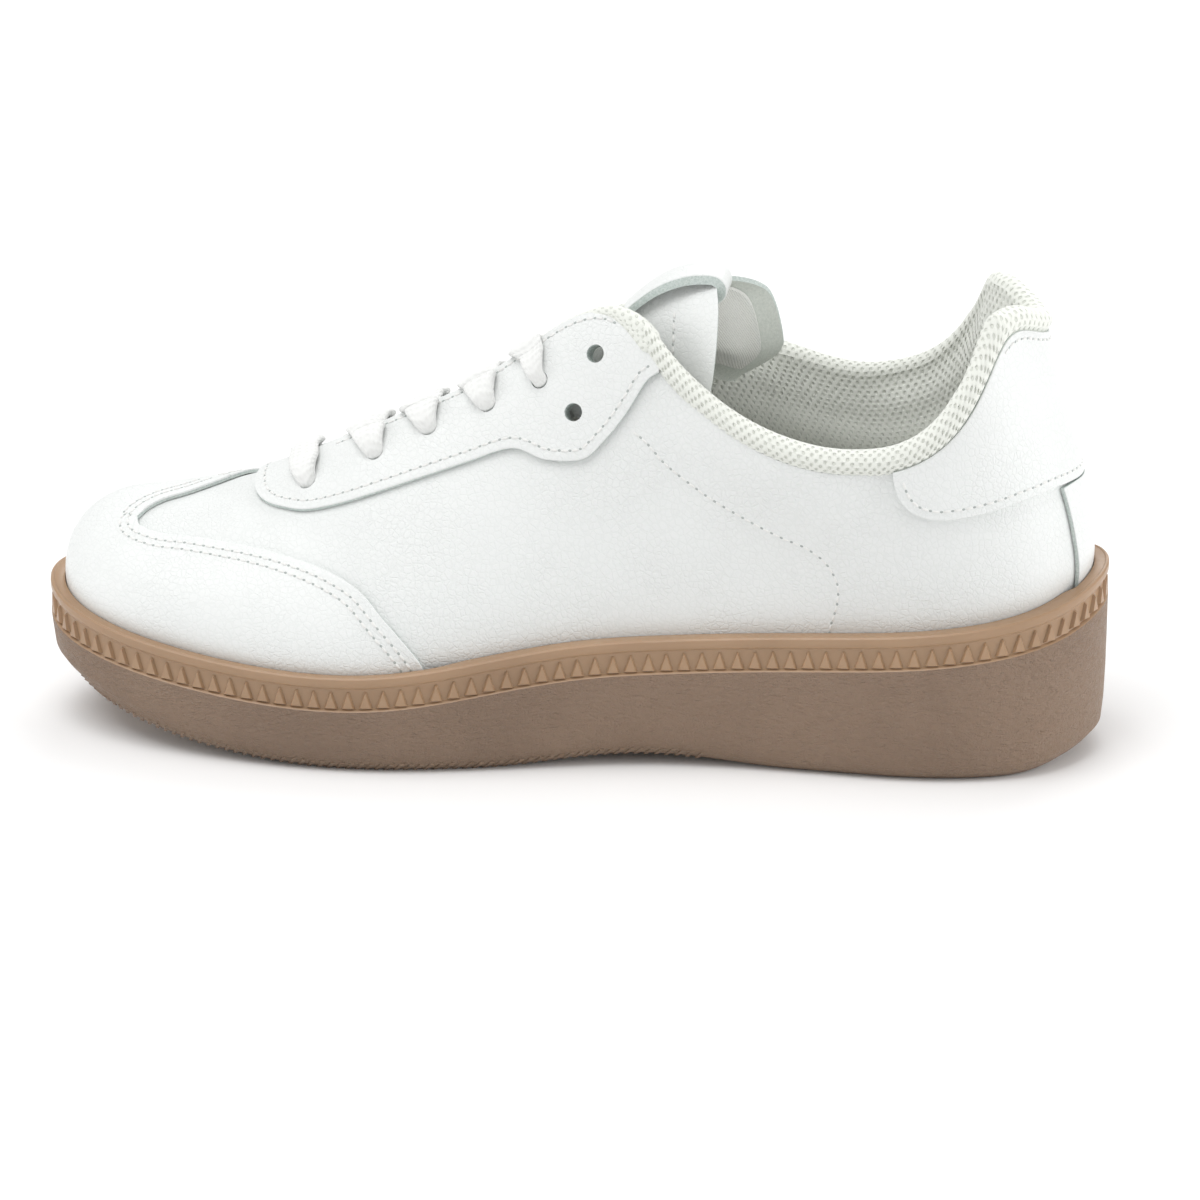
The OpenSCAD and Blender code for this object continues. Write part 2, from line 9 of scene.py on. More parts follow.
import bmesh
import bpy
import numpy as np
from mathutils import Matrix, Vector


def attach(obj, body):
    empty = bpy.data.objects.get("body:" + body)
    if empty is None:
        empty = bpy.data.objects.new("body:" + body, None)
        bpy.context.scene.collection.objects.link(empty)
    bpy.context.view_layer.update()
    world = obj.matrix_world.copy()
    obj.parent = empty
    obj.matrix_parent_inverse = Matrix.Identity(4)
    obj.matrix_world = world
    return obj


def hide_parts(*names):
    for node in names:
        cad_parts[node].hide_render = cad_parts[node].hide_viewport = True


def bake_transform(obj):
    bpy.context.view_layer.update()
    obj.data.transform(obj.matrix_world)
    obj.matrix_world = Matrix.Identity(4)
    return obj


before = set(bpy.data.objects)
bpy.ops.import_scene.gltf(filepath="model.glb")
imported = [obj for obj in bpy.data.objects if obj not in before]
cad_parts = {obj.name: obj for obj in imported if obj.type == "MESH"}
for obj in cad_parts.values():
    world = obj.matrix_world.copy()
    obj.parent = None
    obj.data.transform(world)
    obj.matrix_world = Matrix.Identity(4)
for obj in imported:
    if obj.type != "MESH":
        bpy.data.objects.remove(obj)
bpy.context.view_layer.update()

MM = 0.001

# ---- Camera ----
AIM = Vector((6.27, -0.92, 31.5)) * MM
AZIMUTH = math.radians(8)
ELEVATION = math.radians(20)
DISTANCE = 1150 * MM
LENS = 135.6
SENSOR = 36


def add_camera():
    """Camera at the viewing angle, aimed at the middle of the shoe."""
    away = Vector((math.sin(AZIMUTH) * math.cos(ELEVATION),
                   -math.cos(AZIMUTH) * math.cos(ELEVATION),
                   math.sin(ELEVATION)))
    data = bpy.data.cameras.new("camera")
    data.lens = LENS
    data.sensor_width = SENSOR
    data.clip_end = 20
    camera = bpy.data.objects.new("camera", data)
    camera.location = AIM + away * DISTANCE
    camera.rotation_euler = away.to_track_quat("Z", "Y").to_euler()
    bpy.context.scene.collection.objects.link(camera)
    bpy.context.scene.camera = camera


add_camera()

# ---- Sizes, as in the CAD part ----
CENTRE = np.array([0.27, -0.92, 0])

# Each rib: foot x, y, z and crest x, y, z, then how far the lower handle of its curve lies
# out and up from the foot, and how far the upper handle lies out and down from the crest.
LAST = np.array([
    (-132, -5, 36, -110, 3, 56.5, 1.5, 12, 16, 1),
    (-129, -18, 34, -110, 3, 56.5, 1.5, 12, 17, 1),
    (-119.5, -28.5, 31, -107.5, 4, 56.6, 1.5, 13, 20, 1),
    (-103, -36.5, 28, -101, 5.5, 57, 2, 14, 26, 1),
    (-82, -42, 25.5, -91, 6, 58.3, 2.5, 15, 28, 1),
    (-61, -45, 24, -78, 4.5, 62.5, 2.5, 16, 25, 1),
    (-40, -44.5, 24.5, -61, -5, 73, 2, 18, 17, 4),
    (-18, -39.5, 28.5, -40, -7, 83, 1, 21, 15, 7),
    (4, -33.5, 32.2, -18, -8, 93.5, 0.5, 25, 13, 9),
    (26, -29.5, 33, 9, -9, 119, 0, 26, 10, 13),
    (48, -29, 34.5, 25, -20, 96.5, 0.5, 20, 6, 12),
    (68, -30.5, 36, 46, -30, 82, 1, 16, 2, 12),
    (87, -32, 37.5, 68, -34.5, 77.5, 1, 14, 1, 12),
    (104, -30, 39.5, 89, -34.5, 81, 1, 16, 1, 12),
    (117, -25, 42, 102, -31, 94, 1, 18, 1, 14),
    (125, -16.5, 44.5, 108, -23, 115, 1.5, 20, 1, 16),
    (129.8, -7, 47, 114, -12, 111, 2, 20, 1, 16),
    (130.8, 2, 48, 119.5, 0, 107, 2.5, 20, 0.5, 16),
    (128.3, 12, 47, 112.5, 12, 109.5, 2, 20, 1, 16),
    (122, 21, 44.5, 105.5, 22, 113.5, 1.5, 20, 1, 16),
    (112, 28.5, 41.5, 100, 31, 96, 1, 18, 1, 14),
    (97, 33, 38.5, 87, 34.5, 84, 1, 16, 1, 12),
    (79, 35, 36.5, 65, 35, 81, 1, 14, 1, 12),
    (59, 36, 35, 43, 31, 91, 1, 16, 2, 12),
    (37, 38, 33.5, 22, 20, 100, 0.5, 20, 6, 12),
    (14, 41, 31, 6, 9, 108, 0, 26, 12, 12),
    (-9, 44.5, 28, -18, 8, 90, 0.5, 25, 15, 9),
    (-32, 47, 25, -40, 7, 79.5, 1, 21, 17, 7),
    (-56, 46, 24, -61, 5, 70.5, 2, 18, 18, 4),
    (-78, 40.5, 25.5, -78, 4.5, 62.5, 2.5, 16, 15, 1),
    (-99, 32.5, 28, -91, 6, 58.3, 2.5, 15, 12, 1),
    (-116, 22, 31, -101, 5.5, 57, 2, 14, 9, 1),
    (-127.5, 9.5, 34, -107.5, 4, 56.6, 1.5, 13, 9, 1),
])
RIBS = len(LAST)
TOE = 0.5
HEEL = 17
THROAT = 5.3
HEM = -0.25
INNER_HEM = HEM + 0.05
HEM_TUCK = 2
WALL_OUT = 4
FLOOR_T = 5
TOE_SPRING = 12.8
HEEL_BEVEL = 3.5
ARCH_RISE = 2.6
HEEL_SEAT = 27
BALL_SEAT = 15
BOARD_T = 2
SOCK_T = 4
LEATHER = 1.2
THIN = 0.8
GAP = 0.25
PAD_T = 2.6
ROLL_H = 3.2
ROLL_BACK = 3.4
ROLL_FRONT = 3
ROLL_D = 2
BASE_D = LEATHER + GAP
STIFF_D = BASE_D + LEATHER + GAP
LINING_D = STIFF_D + THIN + GAP
PAD_LINING_D = LINING_D + PAD_T + GAP
TONGUE_PAD = 2.4
EYELET_R = 2.25


# ---- Curves and surfaces ----
def mix(a, b, k):
    """From a at k = 0 to b at k = 1."""
    return a + (b - a) * k


def ease(a, b, x):
    """0 up to a, 1 from b on, and smooth between them."""
    k = np.clip((x - a) / (b - a), 0, 1)
    return k * k * (3 - 2 * k)


def hermite(k, h, a, b, slope_a, slope_b):
    """Cubic from a to b over a step h, k of the way along, with the slopes given at its ends."""
    return ((2 * k**3 - 3 * k**2 + 1) * a + (k**3 - 2 * k**2 + k) * h * slope_a
            + (3 * k**2 - 2 * k**3) * b + (k**3 - k**2) * h * slope_b)


def travelled(line, power=1):
    """How far along a line each of its points lies."""
    return np.r_[0, np.cumsum(np.linalg.norm(np.diff(line, axis=0), axis=1) ** power)]


def read(line, far, wanted):
    """Points of a line at the distances wanted, where far is its points' own distances."""
    return np.stack([np.interp(wanted, far, line[:, c]) for c in range(line.shape[1])], -1)


def through(points, x):
    """Smooth curve through points (x, value), read at x."""
    points = np.array(points, float)
    px, py = points[:, 0], points[:, 1]
    slope = np.gradient(py, px)
    i = np.clip(np.searchsorted(px, x) - 1, 0, len(px) - 2)
    h = px[i + 1] - px[i]
    k = np.clip((x - px[i]) / h, 0, 1)
    return hermite(k, h, py[i], py[i + 1], slope[i], slope[i + 1])


def spline(points, count):
    """count points, evenly spaced, on a smooth curve through points of any dimension."""
    points = np.array(points, float)
    steps = travelled(points, 0.5)
    fine = np.linspace(0, steps[-1], count * 8)
    i = np.clip(np.searchsorted(steps, fine) - 1, 0, len(points) - 2)
    slopes = np.gradient(points, steps, axis=0)
    h = (steps[i + 1] - steps[i])[:, None]
    k = ((fine - steps[i]) / h[:, 0])[:, None]
    return even(hermite(k, h, points[i], points[i + 1], slopes[i], slopes[i + 1]), count)


def even(curve, count):
    """count points at even distances along a polyline."""
    far = travelled(curve)
    return read(curve, far, np.linspace(0, far[-1], count))


def unit(vectors):
    """The same directions, each of length 1."""
    return vectors / np.maximum(np.linalg.norm(vectors, axis=-1, keepdims=True), 1e-12)


def rib(t):
    """Numbers of the rib at t, on a closed smooth curve through all ribs."""
    i = np.floor(t).astype(int)
    f = (t - i)[..., None]
    return ((1 - f)**3 * LAST[(i - 1) % RIBS] + (3 * f**3 - 6 * f**2 + 4) * LAST[i % RIBS]
            + (-3 * f**3 + 3 * f**2 + 3 * f + 1) * LAST[(i + 1) % RIBS] + f**3 * LAST[(i + 2) % RIBS]) / 6


def station(t):
    """Place along one side, from the toe to the heel, of a rib on either side."""
    u = np.mod(t, RIBS)
    return np.where(u < TOE, 1 - u, np.where(u > HEEL, 2 * HEEL - u, u))


def outward(t):
    """Level direction out of the shoe at the foot of a rib."""
    d = (rib(t + 0.01) - rib(t - 0.01))[..., :2]
    d = unit(d)
    return np.stack([d[..., 1], -d[..., 0], np.zeros_like(d[..., 0])], -1)


def crest(t):
    """Top of a rib. In front of the throat the two sides meet at one crest."""
    near = rib(t)[..., 3:6]
    far = rib(2 * HEEL - t)[..., 3:6]
    k = 1 - ease(THROAT, THROAT + 0.9, station(t))
    return mix(near, far, k[..., None] / 2)


def ground(x):
    """Height of the sole's underside: toe spring, arch and heel bevel."""
    toe = np.where(x < -50, TOE_SPRING * ((x + 50) / 82)**2, 0)
    arch = np.where((x > -20) & (x < 60), ARCH_RISE * np.cos(np.radians((x - 20) / 40 * 90))**2, 0)
    heel = np.where(x > 112, HEEL_BEVEL * ((x - 112) / 22)**2, 0)
    return toe + arch + heel


def seat(x):
    """Height that the foot rests at."""
    return mix(BALL_SEAT, HEEL_SEAT, ease(-45, 62, x)) + np.where(x < -50, 9.4 * ((x + 50) / 82)**2, 0)


def swell(p):
    """Slow, slight unevenness of lasted leather, in millimetres."""
    waves = ((0.21, 0.07, 0.13, 1.1), (-0.09, 0.25, 0.17, 2.3), (0.33, -0.18, 0.05, 0.4),
             (0.12, 0.31, -0.29, 4.0))
    return sum(np.sin(a * p[..., 0] + b * p[..., 1] + c * p[..., 2] + d) for a, b, c, d in waves) * 0.045


def skin(t, v):
    """Outermost surface of the upper. Below 0, the hem tucks in under the foot."""
    r = rib(t)
    n = outward(t)
    foot = r[..., :3]
    k = (v / HEM)[..., None]
    tucked = foot - n * HEM_TUCK * k * k
    tucked[..., 2] = mix(foot[..., 2], seat(foot[..., 0]) - BOARD_T, v / HEM)
    top = crest(t)
    up = np.array([0, 0, 1.0])
    low = foot + n * r[..., 6:7] + up * r[..., 7:8]
    high = top + n * r[..., 8:9] - up * r[..., 9:10]
    w = v[..., None]
    u = 1 - w
    above = u**3 * foot + 3 * u**2 * w * low + 3 * u * w**2 * high + w**3 * top
    return np.where(w < 0, tucked, above) + CENTRE


def normal(t, v):
    """Direction out of the skin."""
    w = np.minimum(v, 0.97)
    along = skin(t + 0.02, w) - skin(t - 0.02, w)
    up = skin(t, w + 0.01) - skin(t, w - 0.01)
    return np.where((v <= 0)[..., None], outward(t), unit(np.cross(along, up)))


def inward(t, v, depth):
    """Points at a depth under the skin, with its slight unevenness."""
    p = skin(t, v)
    return p - normal(t, v) * (depth - swell(p) * ease(0, 0.15, v))[..., None]


def cut_round(radius, s):
    """Radius of a cut edge that starts behind the throat's front."""
    return radius * ease(THROAT, THROAT + 0.3, s)


def at(t, v, depth):
    """Points at a depth under the skin. Both sides share their crest in front of the throat."""
    t, v, depth = np.broadcast_arrays(np.asarray(t, float), np.asarray(v, float), np.asarray(depth, float))
    p = inward(t, v, depth)
    shared = (v > 0.9999) & (station(t) <= THROAT + 1e-6)
    both = (p + inward(2 * HEEL - t, v, depth)) / 2
    return np.where(shared[..., None], both, p)


# ---- Meshes ----
def grid_faces(rows, columns, first=0):
    """Quads of a grid of points, numbered from first."""
    i = np.arange(rows * columns).reshape(rows, columns) + first
    return np.stack([i[:-1, :-1], i[1:, :-1], i[1:, 1:], i[:-1, 1:]], -1).reshape(-1, 4)


def make(name, points, faces, materials, looks=None, uv=None, weld=0.012, sharp=40):
    """Mesh object from points in millimetres. looks is each face's material, uv each point's."""
    mesh = bpy.data.meshes.new(name)
    mesh.from_pydata((np.asarray(points) * MM).tolist(), [], [list(f) for f in faces])
    for material in materials:
        mesh.materials.append(material)
    if looks is not None:
        mesh.polygons.foreach_set("material_index", np.asarray(looks, np.int32))
    if uv is not None:
        corner = np.empty(len(mesh.loops), np.int32)
        mesh.loops.foreach_get("vertex_index", corner)
        mesh.uv_layers.new(name="mm").data.foreach_set("uv", np.asarray(uv, np.float32)[corner].ravel())
    mesh.polygons.foreach_set("use_smooth", np.ones(len(mesh.polygons), bool))
    work = bmesh.new()
    work.from_mesh(mesh)
    if weld:
        bmesh.ops.remove_doubles(work, verts=work.verts, dist=weld * MM)
        bmesh.ops.dissolve_degenerate(work, edges=work.edges, dist=weld * MM / 4)
    work.to_mesh(mesh)
    work.free()
    mesh.set_sharp_from_angle(angle=math.radians(sharp))
    thing = bpy.data.objects.new(name, mesh)
    bpy.context.scene.collection.objects.link(thing)
    return thing


def finish_modifiers(thing, sharp=40):
    """Applies every modifier of a piece."""
    graph = bpy.context.evaluated_depsgraph_get()
    mesh = bpy.data.meshes.new_from_object(thing.evaluated_get(graph))
    thing.modifiers.clear()
    thing.data = mesh
    mesh.set_sharp_from_angle(angle=math.radians(sharp))


def join_parts(parts):
    """One set of points and faces from many, with each face's material."""
    points, faces, looks = [], [], []
    count = 0
    for p, f, m in parts:
        points.append(np.asarray(p, float).reshape(-1, 3))
        faces += [[i + count for i in face] for face in f]
        looks += list(m) if np.ndim(m) else [m] * len(f)
        count += len(points[-1])
    return np.concatenate(points), faces, looks


# Where the points of a rounded edge lie on its quarter circle.
CURL = np.radians([90, 60, 30, 0])


def strip(place, rows, low, high, depth, thick, columns=14, round_low=0.4, round_high=0.4,
          capped=False, inner_look=0):
    """Solid strip between two heights of each row, with rounded shoulders where its edges are cut.

    Where a radius is 0 the edge has no rim, so that it can be welded to another strip. capped
    closes the first and last rows. Rims take the second material, and the inner face the one
    asked for.
    """
    rows, low, high = (np.asarray(a, float) for a in np.broadcast_arrays(rows, low, high))
    round_low = np.broadcast_to(np.asarray(round_low, float), rows.shape)
    round_high = np.broadcast_to(np.asarray(round_high, float), rows.shape)
    middle = mix(low, high, 0.5)
    reach = np.linalg.norm(place(rows, middle + 0.005, 0) - place(rows, middle - 0.005, 0), axis=-1) / 0.01
    span = np.maximum(high - low, 1e-6)
    r_low = np.minimum(round_low / reach, span / 3)
    r_high = np.minimum(round_high / reach, span / 3)
    start = low[:, None] + r_low[:, None] * (1 - np.sin(CURL))
    end = high[:, None] - r_high[:, None] * (1 - np.sin(CURL[::-1]))
    inside = mix(start[:, -1:], end[:, :1], np.linspace(0, 1, columns)[1:-1])
    v = np.concatenate([start, inside, end], 1)
    down_low = np.minimum(round_low, thick * 0.6)[:, None] * (1 - np.cos(CURL))
    down_high = np.minimum(round_high, thick * 0.6)[:, None] * (1 - np.cos(CURL[::-1]))
    down = np.concatenate([down_low, np.zeros_like(inside), down_high], 1)
    ring_v = np.concatenate([v, v[:, ::-1]], 1)
    ring_d = np.concatenate([depth + down, np.full_like(v, depth + thick)], 1)
    k = v.shape[1]
    n = 2 * k
    points = place(np.broadcast_to(rows[:, None], ring_v.shape), ring_v, ring_d)
    faces, looks = [], []
    for i in range(len(rows) - 1):
        for j in range(n):
            rim = j in (k - 1, n - 1)
            radius = (round_high if j == k - 1 else round_low)[i:i + 2]
            if rim and not radius.any():
                continue
            a, b = i * n + j, i * n + (j + 1) % n
            faces.append([a, a + n, b + n, b])
            looks.append(1 if rim else inner_look if j >= k else 0)
    for row in (0, len(rows) - 1) if capped else ():
        for j in range(k - 1):
            a = row * n
            face = [a + j, a + j + 1, a + n - 2 - j, a + n - 1 - j]
            faces.append(face if row == 0 else face[::-1])
            looks.append(1)
    return points.reshape(-1, 3), faces, looks


def shell(outer, inner, look=0, rim_look=1):
    """Closed solid between two grids of the same shape."""
    n, m = outer.shape[:2]
    front = grid_faces(n, m)
    back = grid_faces(n, m, n * m)[:, ::-1]
    i = np.arange(n * m).reshape(n, m)
    edge = np.concatenate([i[:, 0][::-1], i[0, :], i[:, -1], i[-1, ::-1]])
    rim = [[b, a, a + n * m, b + n * m] for a, b in zip(edge[:-1], edge[1:]) if a != b]
    faces = [list(f) for f in front] + [list(f) for f in back] + rim
    looks = [look] * (len(front) + len(back)) + [rim_look] * len(rim)
    return np.concatenate([outer.reshape(-1, 3), inner.reshape(-1, 3)]), faces, looks


def grid_normal(p):
    """Direction square to a grid of points, at each of them."""
    along = np.gradient(p, axis=0)
    across_it = np.gradient(p, axis=1)
    return unit(np.cross(along, across_it))


def lengths(p, axis):
    """Mean distance along one axis of a grid, from its start."""
    steps = np.linalg.norm(np.diff(p, axis=axis), axis=-1).mean(1 - axis)
    return np.r_[0, np.cumsum(steps)]


def swept(path, side, up, half_width, half_thick, sides=18, power=0.75):
    """Closed flat tube. Its section is a rounded oval of the widths given at each point."""
    angle = np.linspace(0, 2 * math.pi, sides + 1)
    c, s = np.cos(angle), np.sin(angle)
    wide = np.sign(c) * np.abs(c)**power
    tall = np.sign(s) * np.abs(s)**power
    rings = (path[:, None] + side[:, None] * (half_width[:, None] * wide)[..., None]
             + up[:, None] * (half_thick[:, None] * tall)[..., None])
    faces = [list(f) for f in grid_faces(len(path), sides + 1)[:, ::-1]]
    ends = [list(range(sides)), list(range((len(path) - 1) * (sides + 1), len(path) * (sides + 1) - 1))[::-1]]
    uv = np.stack(np.broadcast_arrays(travelled(path)[:, None], angle[None] / (2 * math.pi)), -1)
    return rings.reshape(-1, 3), faces + ends, uv.reshape(-1, 2)


# ---- Materials ----
class Look:
    """One procedural material, written node by node."""

    def __init__(self, name, roughness=0.6, **values):
        self.material = bpy.data.materials.new(name)
        self.material.use_nodes = True
        self.nodes = self.material.node_tree.nodes
        self.links = self.material.node_tree.links
        self.shader = self.nodes["Principled BSDF"]
        self.shader.inputs["Roughness"].default_value = roughness
        for socket, value in values.items():
            self.shader.inputs[socket.replace("_", " ")].default_value = value
        self.where = self.nodes.new("ShaderNodeTexCoord").outputs["Object"]

    def node(self, kind, inputs=(), **settings):
        made = self.nodes.new("ShaderNode" + kind)
        for key, value in settings.items():
            setattr(made, key, value)
        for key, value in dict(inputs).items():
            if isinstance(value, bpy.types.NodeSocket):
                self.links.new(value, made.inputs[key])
            else:
                made.inputs[key].default_value = value
        return made

    def math(self, operation, a, b=0.0, c=0.0):
        return self.node("Math", {0: a, 1: b, 2: c}, operation=operation).outputs[0]

    def noise(self, scale, detail=2.0, roughness=0.5, where=None):
        inputs = {"Vector": where or self.where, "Scale": scale, "Detail": detail, "Roughness": roughness}
        return self.node("TexNoise", inputs).outputs["Fac"]

    def cells(self, scale, feature="DISTANCE_TO_EDGE", where=None):
        inputs = {"Vector": where or self.where, "Scale": scale}
        return self.node("TexVoronoi", inputs, feature=feature).outputs["Distance"]

    def warped(self, scale, amount):
        """Object coordinates pushed about by noise."""
        push = self.node("TexNoise", {"Vector": self.where, "Scale": scale, "Detail": 2.0}).outputs["Color"]
        moved = self.node("VectorMath", {0: push, 1: (-0.5, -0.5, -0.5)}, operation="ADD").outputs[0]
        inputs = {0: moved, "Scale": amount}
        small = self.node("VectorMath", inputs, operation="SCALE").outputs[0]
        return self.node("VectorMath", {0: self.where, 1: small}, operation="ADD").outputs[0]

    def ramp(self, value, low, high, start=0.0, end=1.0):
        """value from low to high, mapped smoothly onto start to end."""
        inputs = {"Value": value, "From Min": low, "From Max": high, "To Min": start, "To Max": end}
        return self.node("MapRange", inputs, interpolation_type="SMOOTHSTEP").outputs[0]

    def colour(self, value, low, high):
        """Mix of two colours into the shader's colour."""
        return self.shade((*low, 1), value, high)

    def shade(self, colour, value, to):
        """A colour moved towards another by a value, into the shader's colour."""
        mixer = self.node("Mix", {0: value, 6: colour, 7: (*to, 1)}, data_type="RGBA")
        self.links.new(mixer.outputs[2], self.shader.inputs["Base Color"])
        return mixer.outputs[2]

    def rough(self, value):
        self.links.new(value, self.shader.inputs["Roughness"])

    def bump(self, height, distance, strength=1.0):
        """Relief of that height in millimetres, on top of any given before."""
        before = self.shader.inputs["Normal"].links
        inputs = {"Height": height, "Distance": distance * MM, "Strength": strength}
        if before:
            inputs["Normal"] = before[0].from_socket
        made = self.node("Bump", inputs)
        self.links.new(made.outputs[0], self.shader.inputs["Normal"])

    def surface(self):
        """The two surface coordinates of a piece that has them, in millimetres."""
        split = self.node("SeparateXYZ", {0: self.node("UVMap", uv_map="mm").outputs[0]})
        return split.outputs[0], split.outputs[1]


def white_leather(name, white=(0.80, 0.815, 0.805), grain=1.0):
    """Tumbled leather: coarse and fine grain cells that fade in and out, under a thin finish, with painted
    shade in the creases between the cells.
    """
    look = Look(name, 0.45, Specular_IOR_Level=0.42, Coat_Weight=0.06, Coat_Roughness=0.35)
    warped = look.warped(260, 0.0011)
    coarse = look.ramp(look.cells(640, where=warped), 0.0, 0.17)
    fine = look.ramp(look.cells(1500, where=warped), 0.0, 0.2)
    patchy = look.ramp(look.noise(45, 3), 0.35, 0.65)
    soft = look.noise(160, 3)
    height = look.math("MULTIPLY_ADD", fine, 0.35, coarse)
    height = look.math("MULTIPLY", height, look.math("MULTIPLY_ADD", patchy, 0.6, 0.4))
    tone = look.colour(look.noise(28, 3), tuple(c * 0.975 for c in white), white)
    # Painted shade: darker colour in the creases between the coarse grain cells.
    crease_shade = look.math("MULTIPLY", look.math("SUBTRACT", 1.0, coarse), 0.16)
    look.shade(tone, crease_shade, (0.62, 0.65, 0.63))
    look.rough(look.ramp(look.math("ADD", soft, height), 0.2, 1.6, 0.54, 0.40))
    look.bump(look.noise(330, 4), 0.05, 0.5)
    look.bump(height, 0.11 * grain, 0.62)
    return look.material


def cut_edge():
    """Raw fibres of the leather's cut edge."""
    look = Look("leather_cut_edge", 0.8)
    fibres = look.noise(1900, 4, 0.7)
    look.colour(look.ramp(fibres, 0.3, 0.75), (0.47, 0.54, 0.51), (0.68, 0.73, 0.705))
    look.bump(fibres, 0.18, 0.8)
    return look.material


def flesh_side():
    """Napped inner face of the leather."""
    look = Look("leather_flesh_side", 0.9, Sheen_Weight=0.2)
    nap = look.noise(1500, 4, 0.7)
    look.colour(look.ramp(nap, 0.3, 0.75), (0.62, 0.66, 0.61), (0.74, 0.77, 0.72))
    look.bump(nap, 0.15, 0.7)
    return look.material


def thread():
    look = Look("sewing_thread", 0.55, Sheen_Weight=0.2)
    look.colour(look.noise(900, 2), (0.74, 0.74, 0.72), (0.84, 0.84, 0.82))
    look.bump(look.noise(3800, 2), 0.08, 0.7)
    return look.material


def needle_hole_shade():
    """Painted shade of the dent where the needle went through, as a dark colour."""
    look = Look("needle_hole_shade", 0.9)
    look.colour(look.noise(700, 2), (0.32, 0.35, 0.34), (0.50, 0.53, 0.51))
    return look.material


def gum(name, low, high, grain):
    """Translucent natural rubber, smooth where it is moulded against polished steel."""
    look = Look(name, 0.36, Specular_IOR_Level=0.5, Subsurface_Weight=0.10, Subsurface_Scale=0.0025,
                Subsurface_Radius=(1.0, 0.5, 0.25))
    cloudy = look.ramp(look.noise(22, 3, 0.5), 0.3, 0.7)
    tone = look.colour(cloudy, low, high)
    specks = look.ramp(look.noise(2600, 2), 0.62, 0.74)
    look.shade(tone, look.math("MULTIPLY", specks, 0.35 * grain + 0.06), tuple(c * 0.55 for c in low))
    look.rough(look.ramp(look.noise(500, 3), 0.3, 0.7, 0.30 + 0.14 * grain, 0.42 + 0.14 * grain))
    look.bump(look.noise(240, 3), 0.10, 0.35)
    if grain:
        warped = look.warped(500, 0.0008)
        pebbles = look.ramp(look.cells(1150, where=warped), 0.0, 0.3)
        level = look.node("Mapping", {"Vector": look.where, "Scale": (1.0, 1.0, 2.8)}).outputs[0]
        wrinkles = look.noise(430, 4, 0.6, level)
        look.bump(pebbles, 0.14 * grain, 0.7)
        look.bump(wrinkles, 1.5 * grain, 0.9)
    return look.material


# Half the mesh's repeat along the collar and across it.
MESH_U = 1.02
MESH_V = 1.5


def collar_mesh():
    """Spacer mesh: yarn net with staggered open cells, each painted darker with the shade down in it over the
    backing. Inside the shoe the colour is painted paler as painted light, and the cells' painted shade is
    weaker there.
    """
    look = Look("collar_mesh", 0.85, Sheen_Weight=0.25, Sheen_Roughness=0.5)
    u, v = look.surface()
    net = look.math("MULTIPLY", look.math("COSINE", look.math("MULTIPLY", u, math.pi / MESH_U)),
                    look.math("COSINE", look.math("MULTIPLY", v, math.pi / MESH_V)))
    hole = look.ramp(net, 0.30, 0.72)
    yarn = look.noise(3000, 3)
    inside = look.ramp(v, 22, 32)
    tone = look.colour(look.noise(60, 3), (0.76, 0.775, 0.72), (0.82, 0.835, 0.78))
    # Painted light: the colour is made paler inside the shoe.
    tone = look.shade(tone, look.math("MULTIPLY", inside, 0.85), (0.90, 0.915, 0.865))
    # Painted shade: the open cells are darkened, less so inside the shoe.
    depth = look.math("MULTIPLY_ADD", inside, -0.24, 0.42)
    look.shade(tone, look.math("MULTIPLY", hole, depth), (0.54, 0.57, 0.49))
    look.bump(look.math("SUBTRACT", 1.0, hole), 0.35, 0.7)
    look.bump(yarn, 0.12, 0.7)
    return look.material


def knit(name, low, high, scale=900):
    """Fine brushed knit: short soft loops in rows, with painted shade between the rows."""
    look = Look(name, 0.9, Sheen_Weight=0.35, Sheen_Roughness=0.6)
    rows = look.node("TexWave", {"Vector": look.where, "Scale": scale * 0.55, "Distortion": 2.5,
                                 "Detail": 2.0, "Detail Scale": 3.0}, wave_type="BANDS",
                     bands_direction="DIAGONAL").outputs["Fac"]
    nap = look.noise(scale * 2.4, 3, 0.6)
    tone = look.colour(look.noise(70, 3), low, high)
    # Painted shade: darker colour between the rows of loops.
    between = look.math("MULTIPLY", look.math("SUBTRACT", 1.0, rows), 0.18)
    look.shade(tone, between, tuple(c * 0.7 for c in low))
    look.bump(rows, 0.14, 0.6)
    look.bump(nap, 0.12, 0.7)
    return look.material


def lace_tape():
    """Flat braid: plaits that lean one way on each half of the tape, with painted shade in the grooves
    between them.
    """
    look = Look("lace_tape", 0.82, Sheen_Weight=0.3, Sheen_Roughness=0.5)
    u, v = look.surface()
    around = look.math("PINGPONG", look.math("MULTIPLY", v, 4.0), 1.0)
    lean = look.math("MULTIPLY_ADD", around, 1.5, u)
    plait = look.math("SINE", look.math("MULTIPLY", lean, 2 * math.pi / 1.5))
    strands = look.math("SINE", look.math("MULTIPLY", v, 2 * math.pi * 16))
    weave = look.math("MULTIPLY", plait, look.math("MULTIPLY_ADD", strands, 0.35, 0.65))
    tone = look.colour(look.noise(220, 3), (0.79, 0.795, 0.78), (0.84, 0.845, 0.83))
    # Painted shade: darker colour in the grooves between the plaits.
    look.shade(tone, look.math("MULTIPLY", look.ramp(weave, -0.3, -1.0), 0.14), (0.62, 0.62, 0.58))
    look.bump(weave, 0.14, 0.7)
    look.bump(look.noise(3200, 3), 0.08, 0.6)
    return look.material


def foam(name, low, high):
    look = Look(name, 0.95)
    pores = look.ramp(look.cells(1700, "F1"), 0.2, 0.7)
    # Painted shade: darker colour down in the pores.
    look.colour(pores, low, high)
    look.bump(pores, 0.2, 0.8)
    return look.material


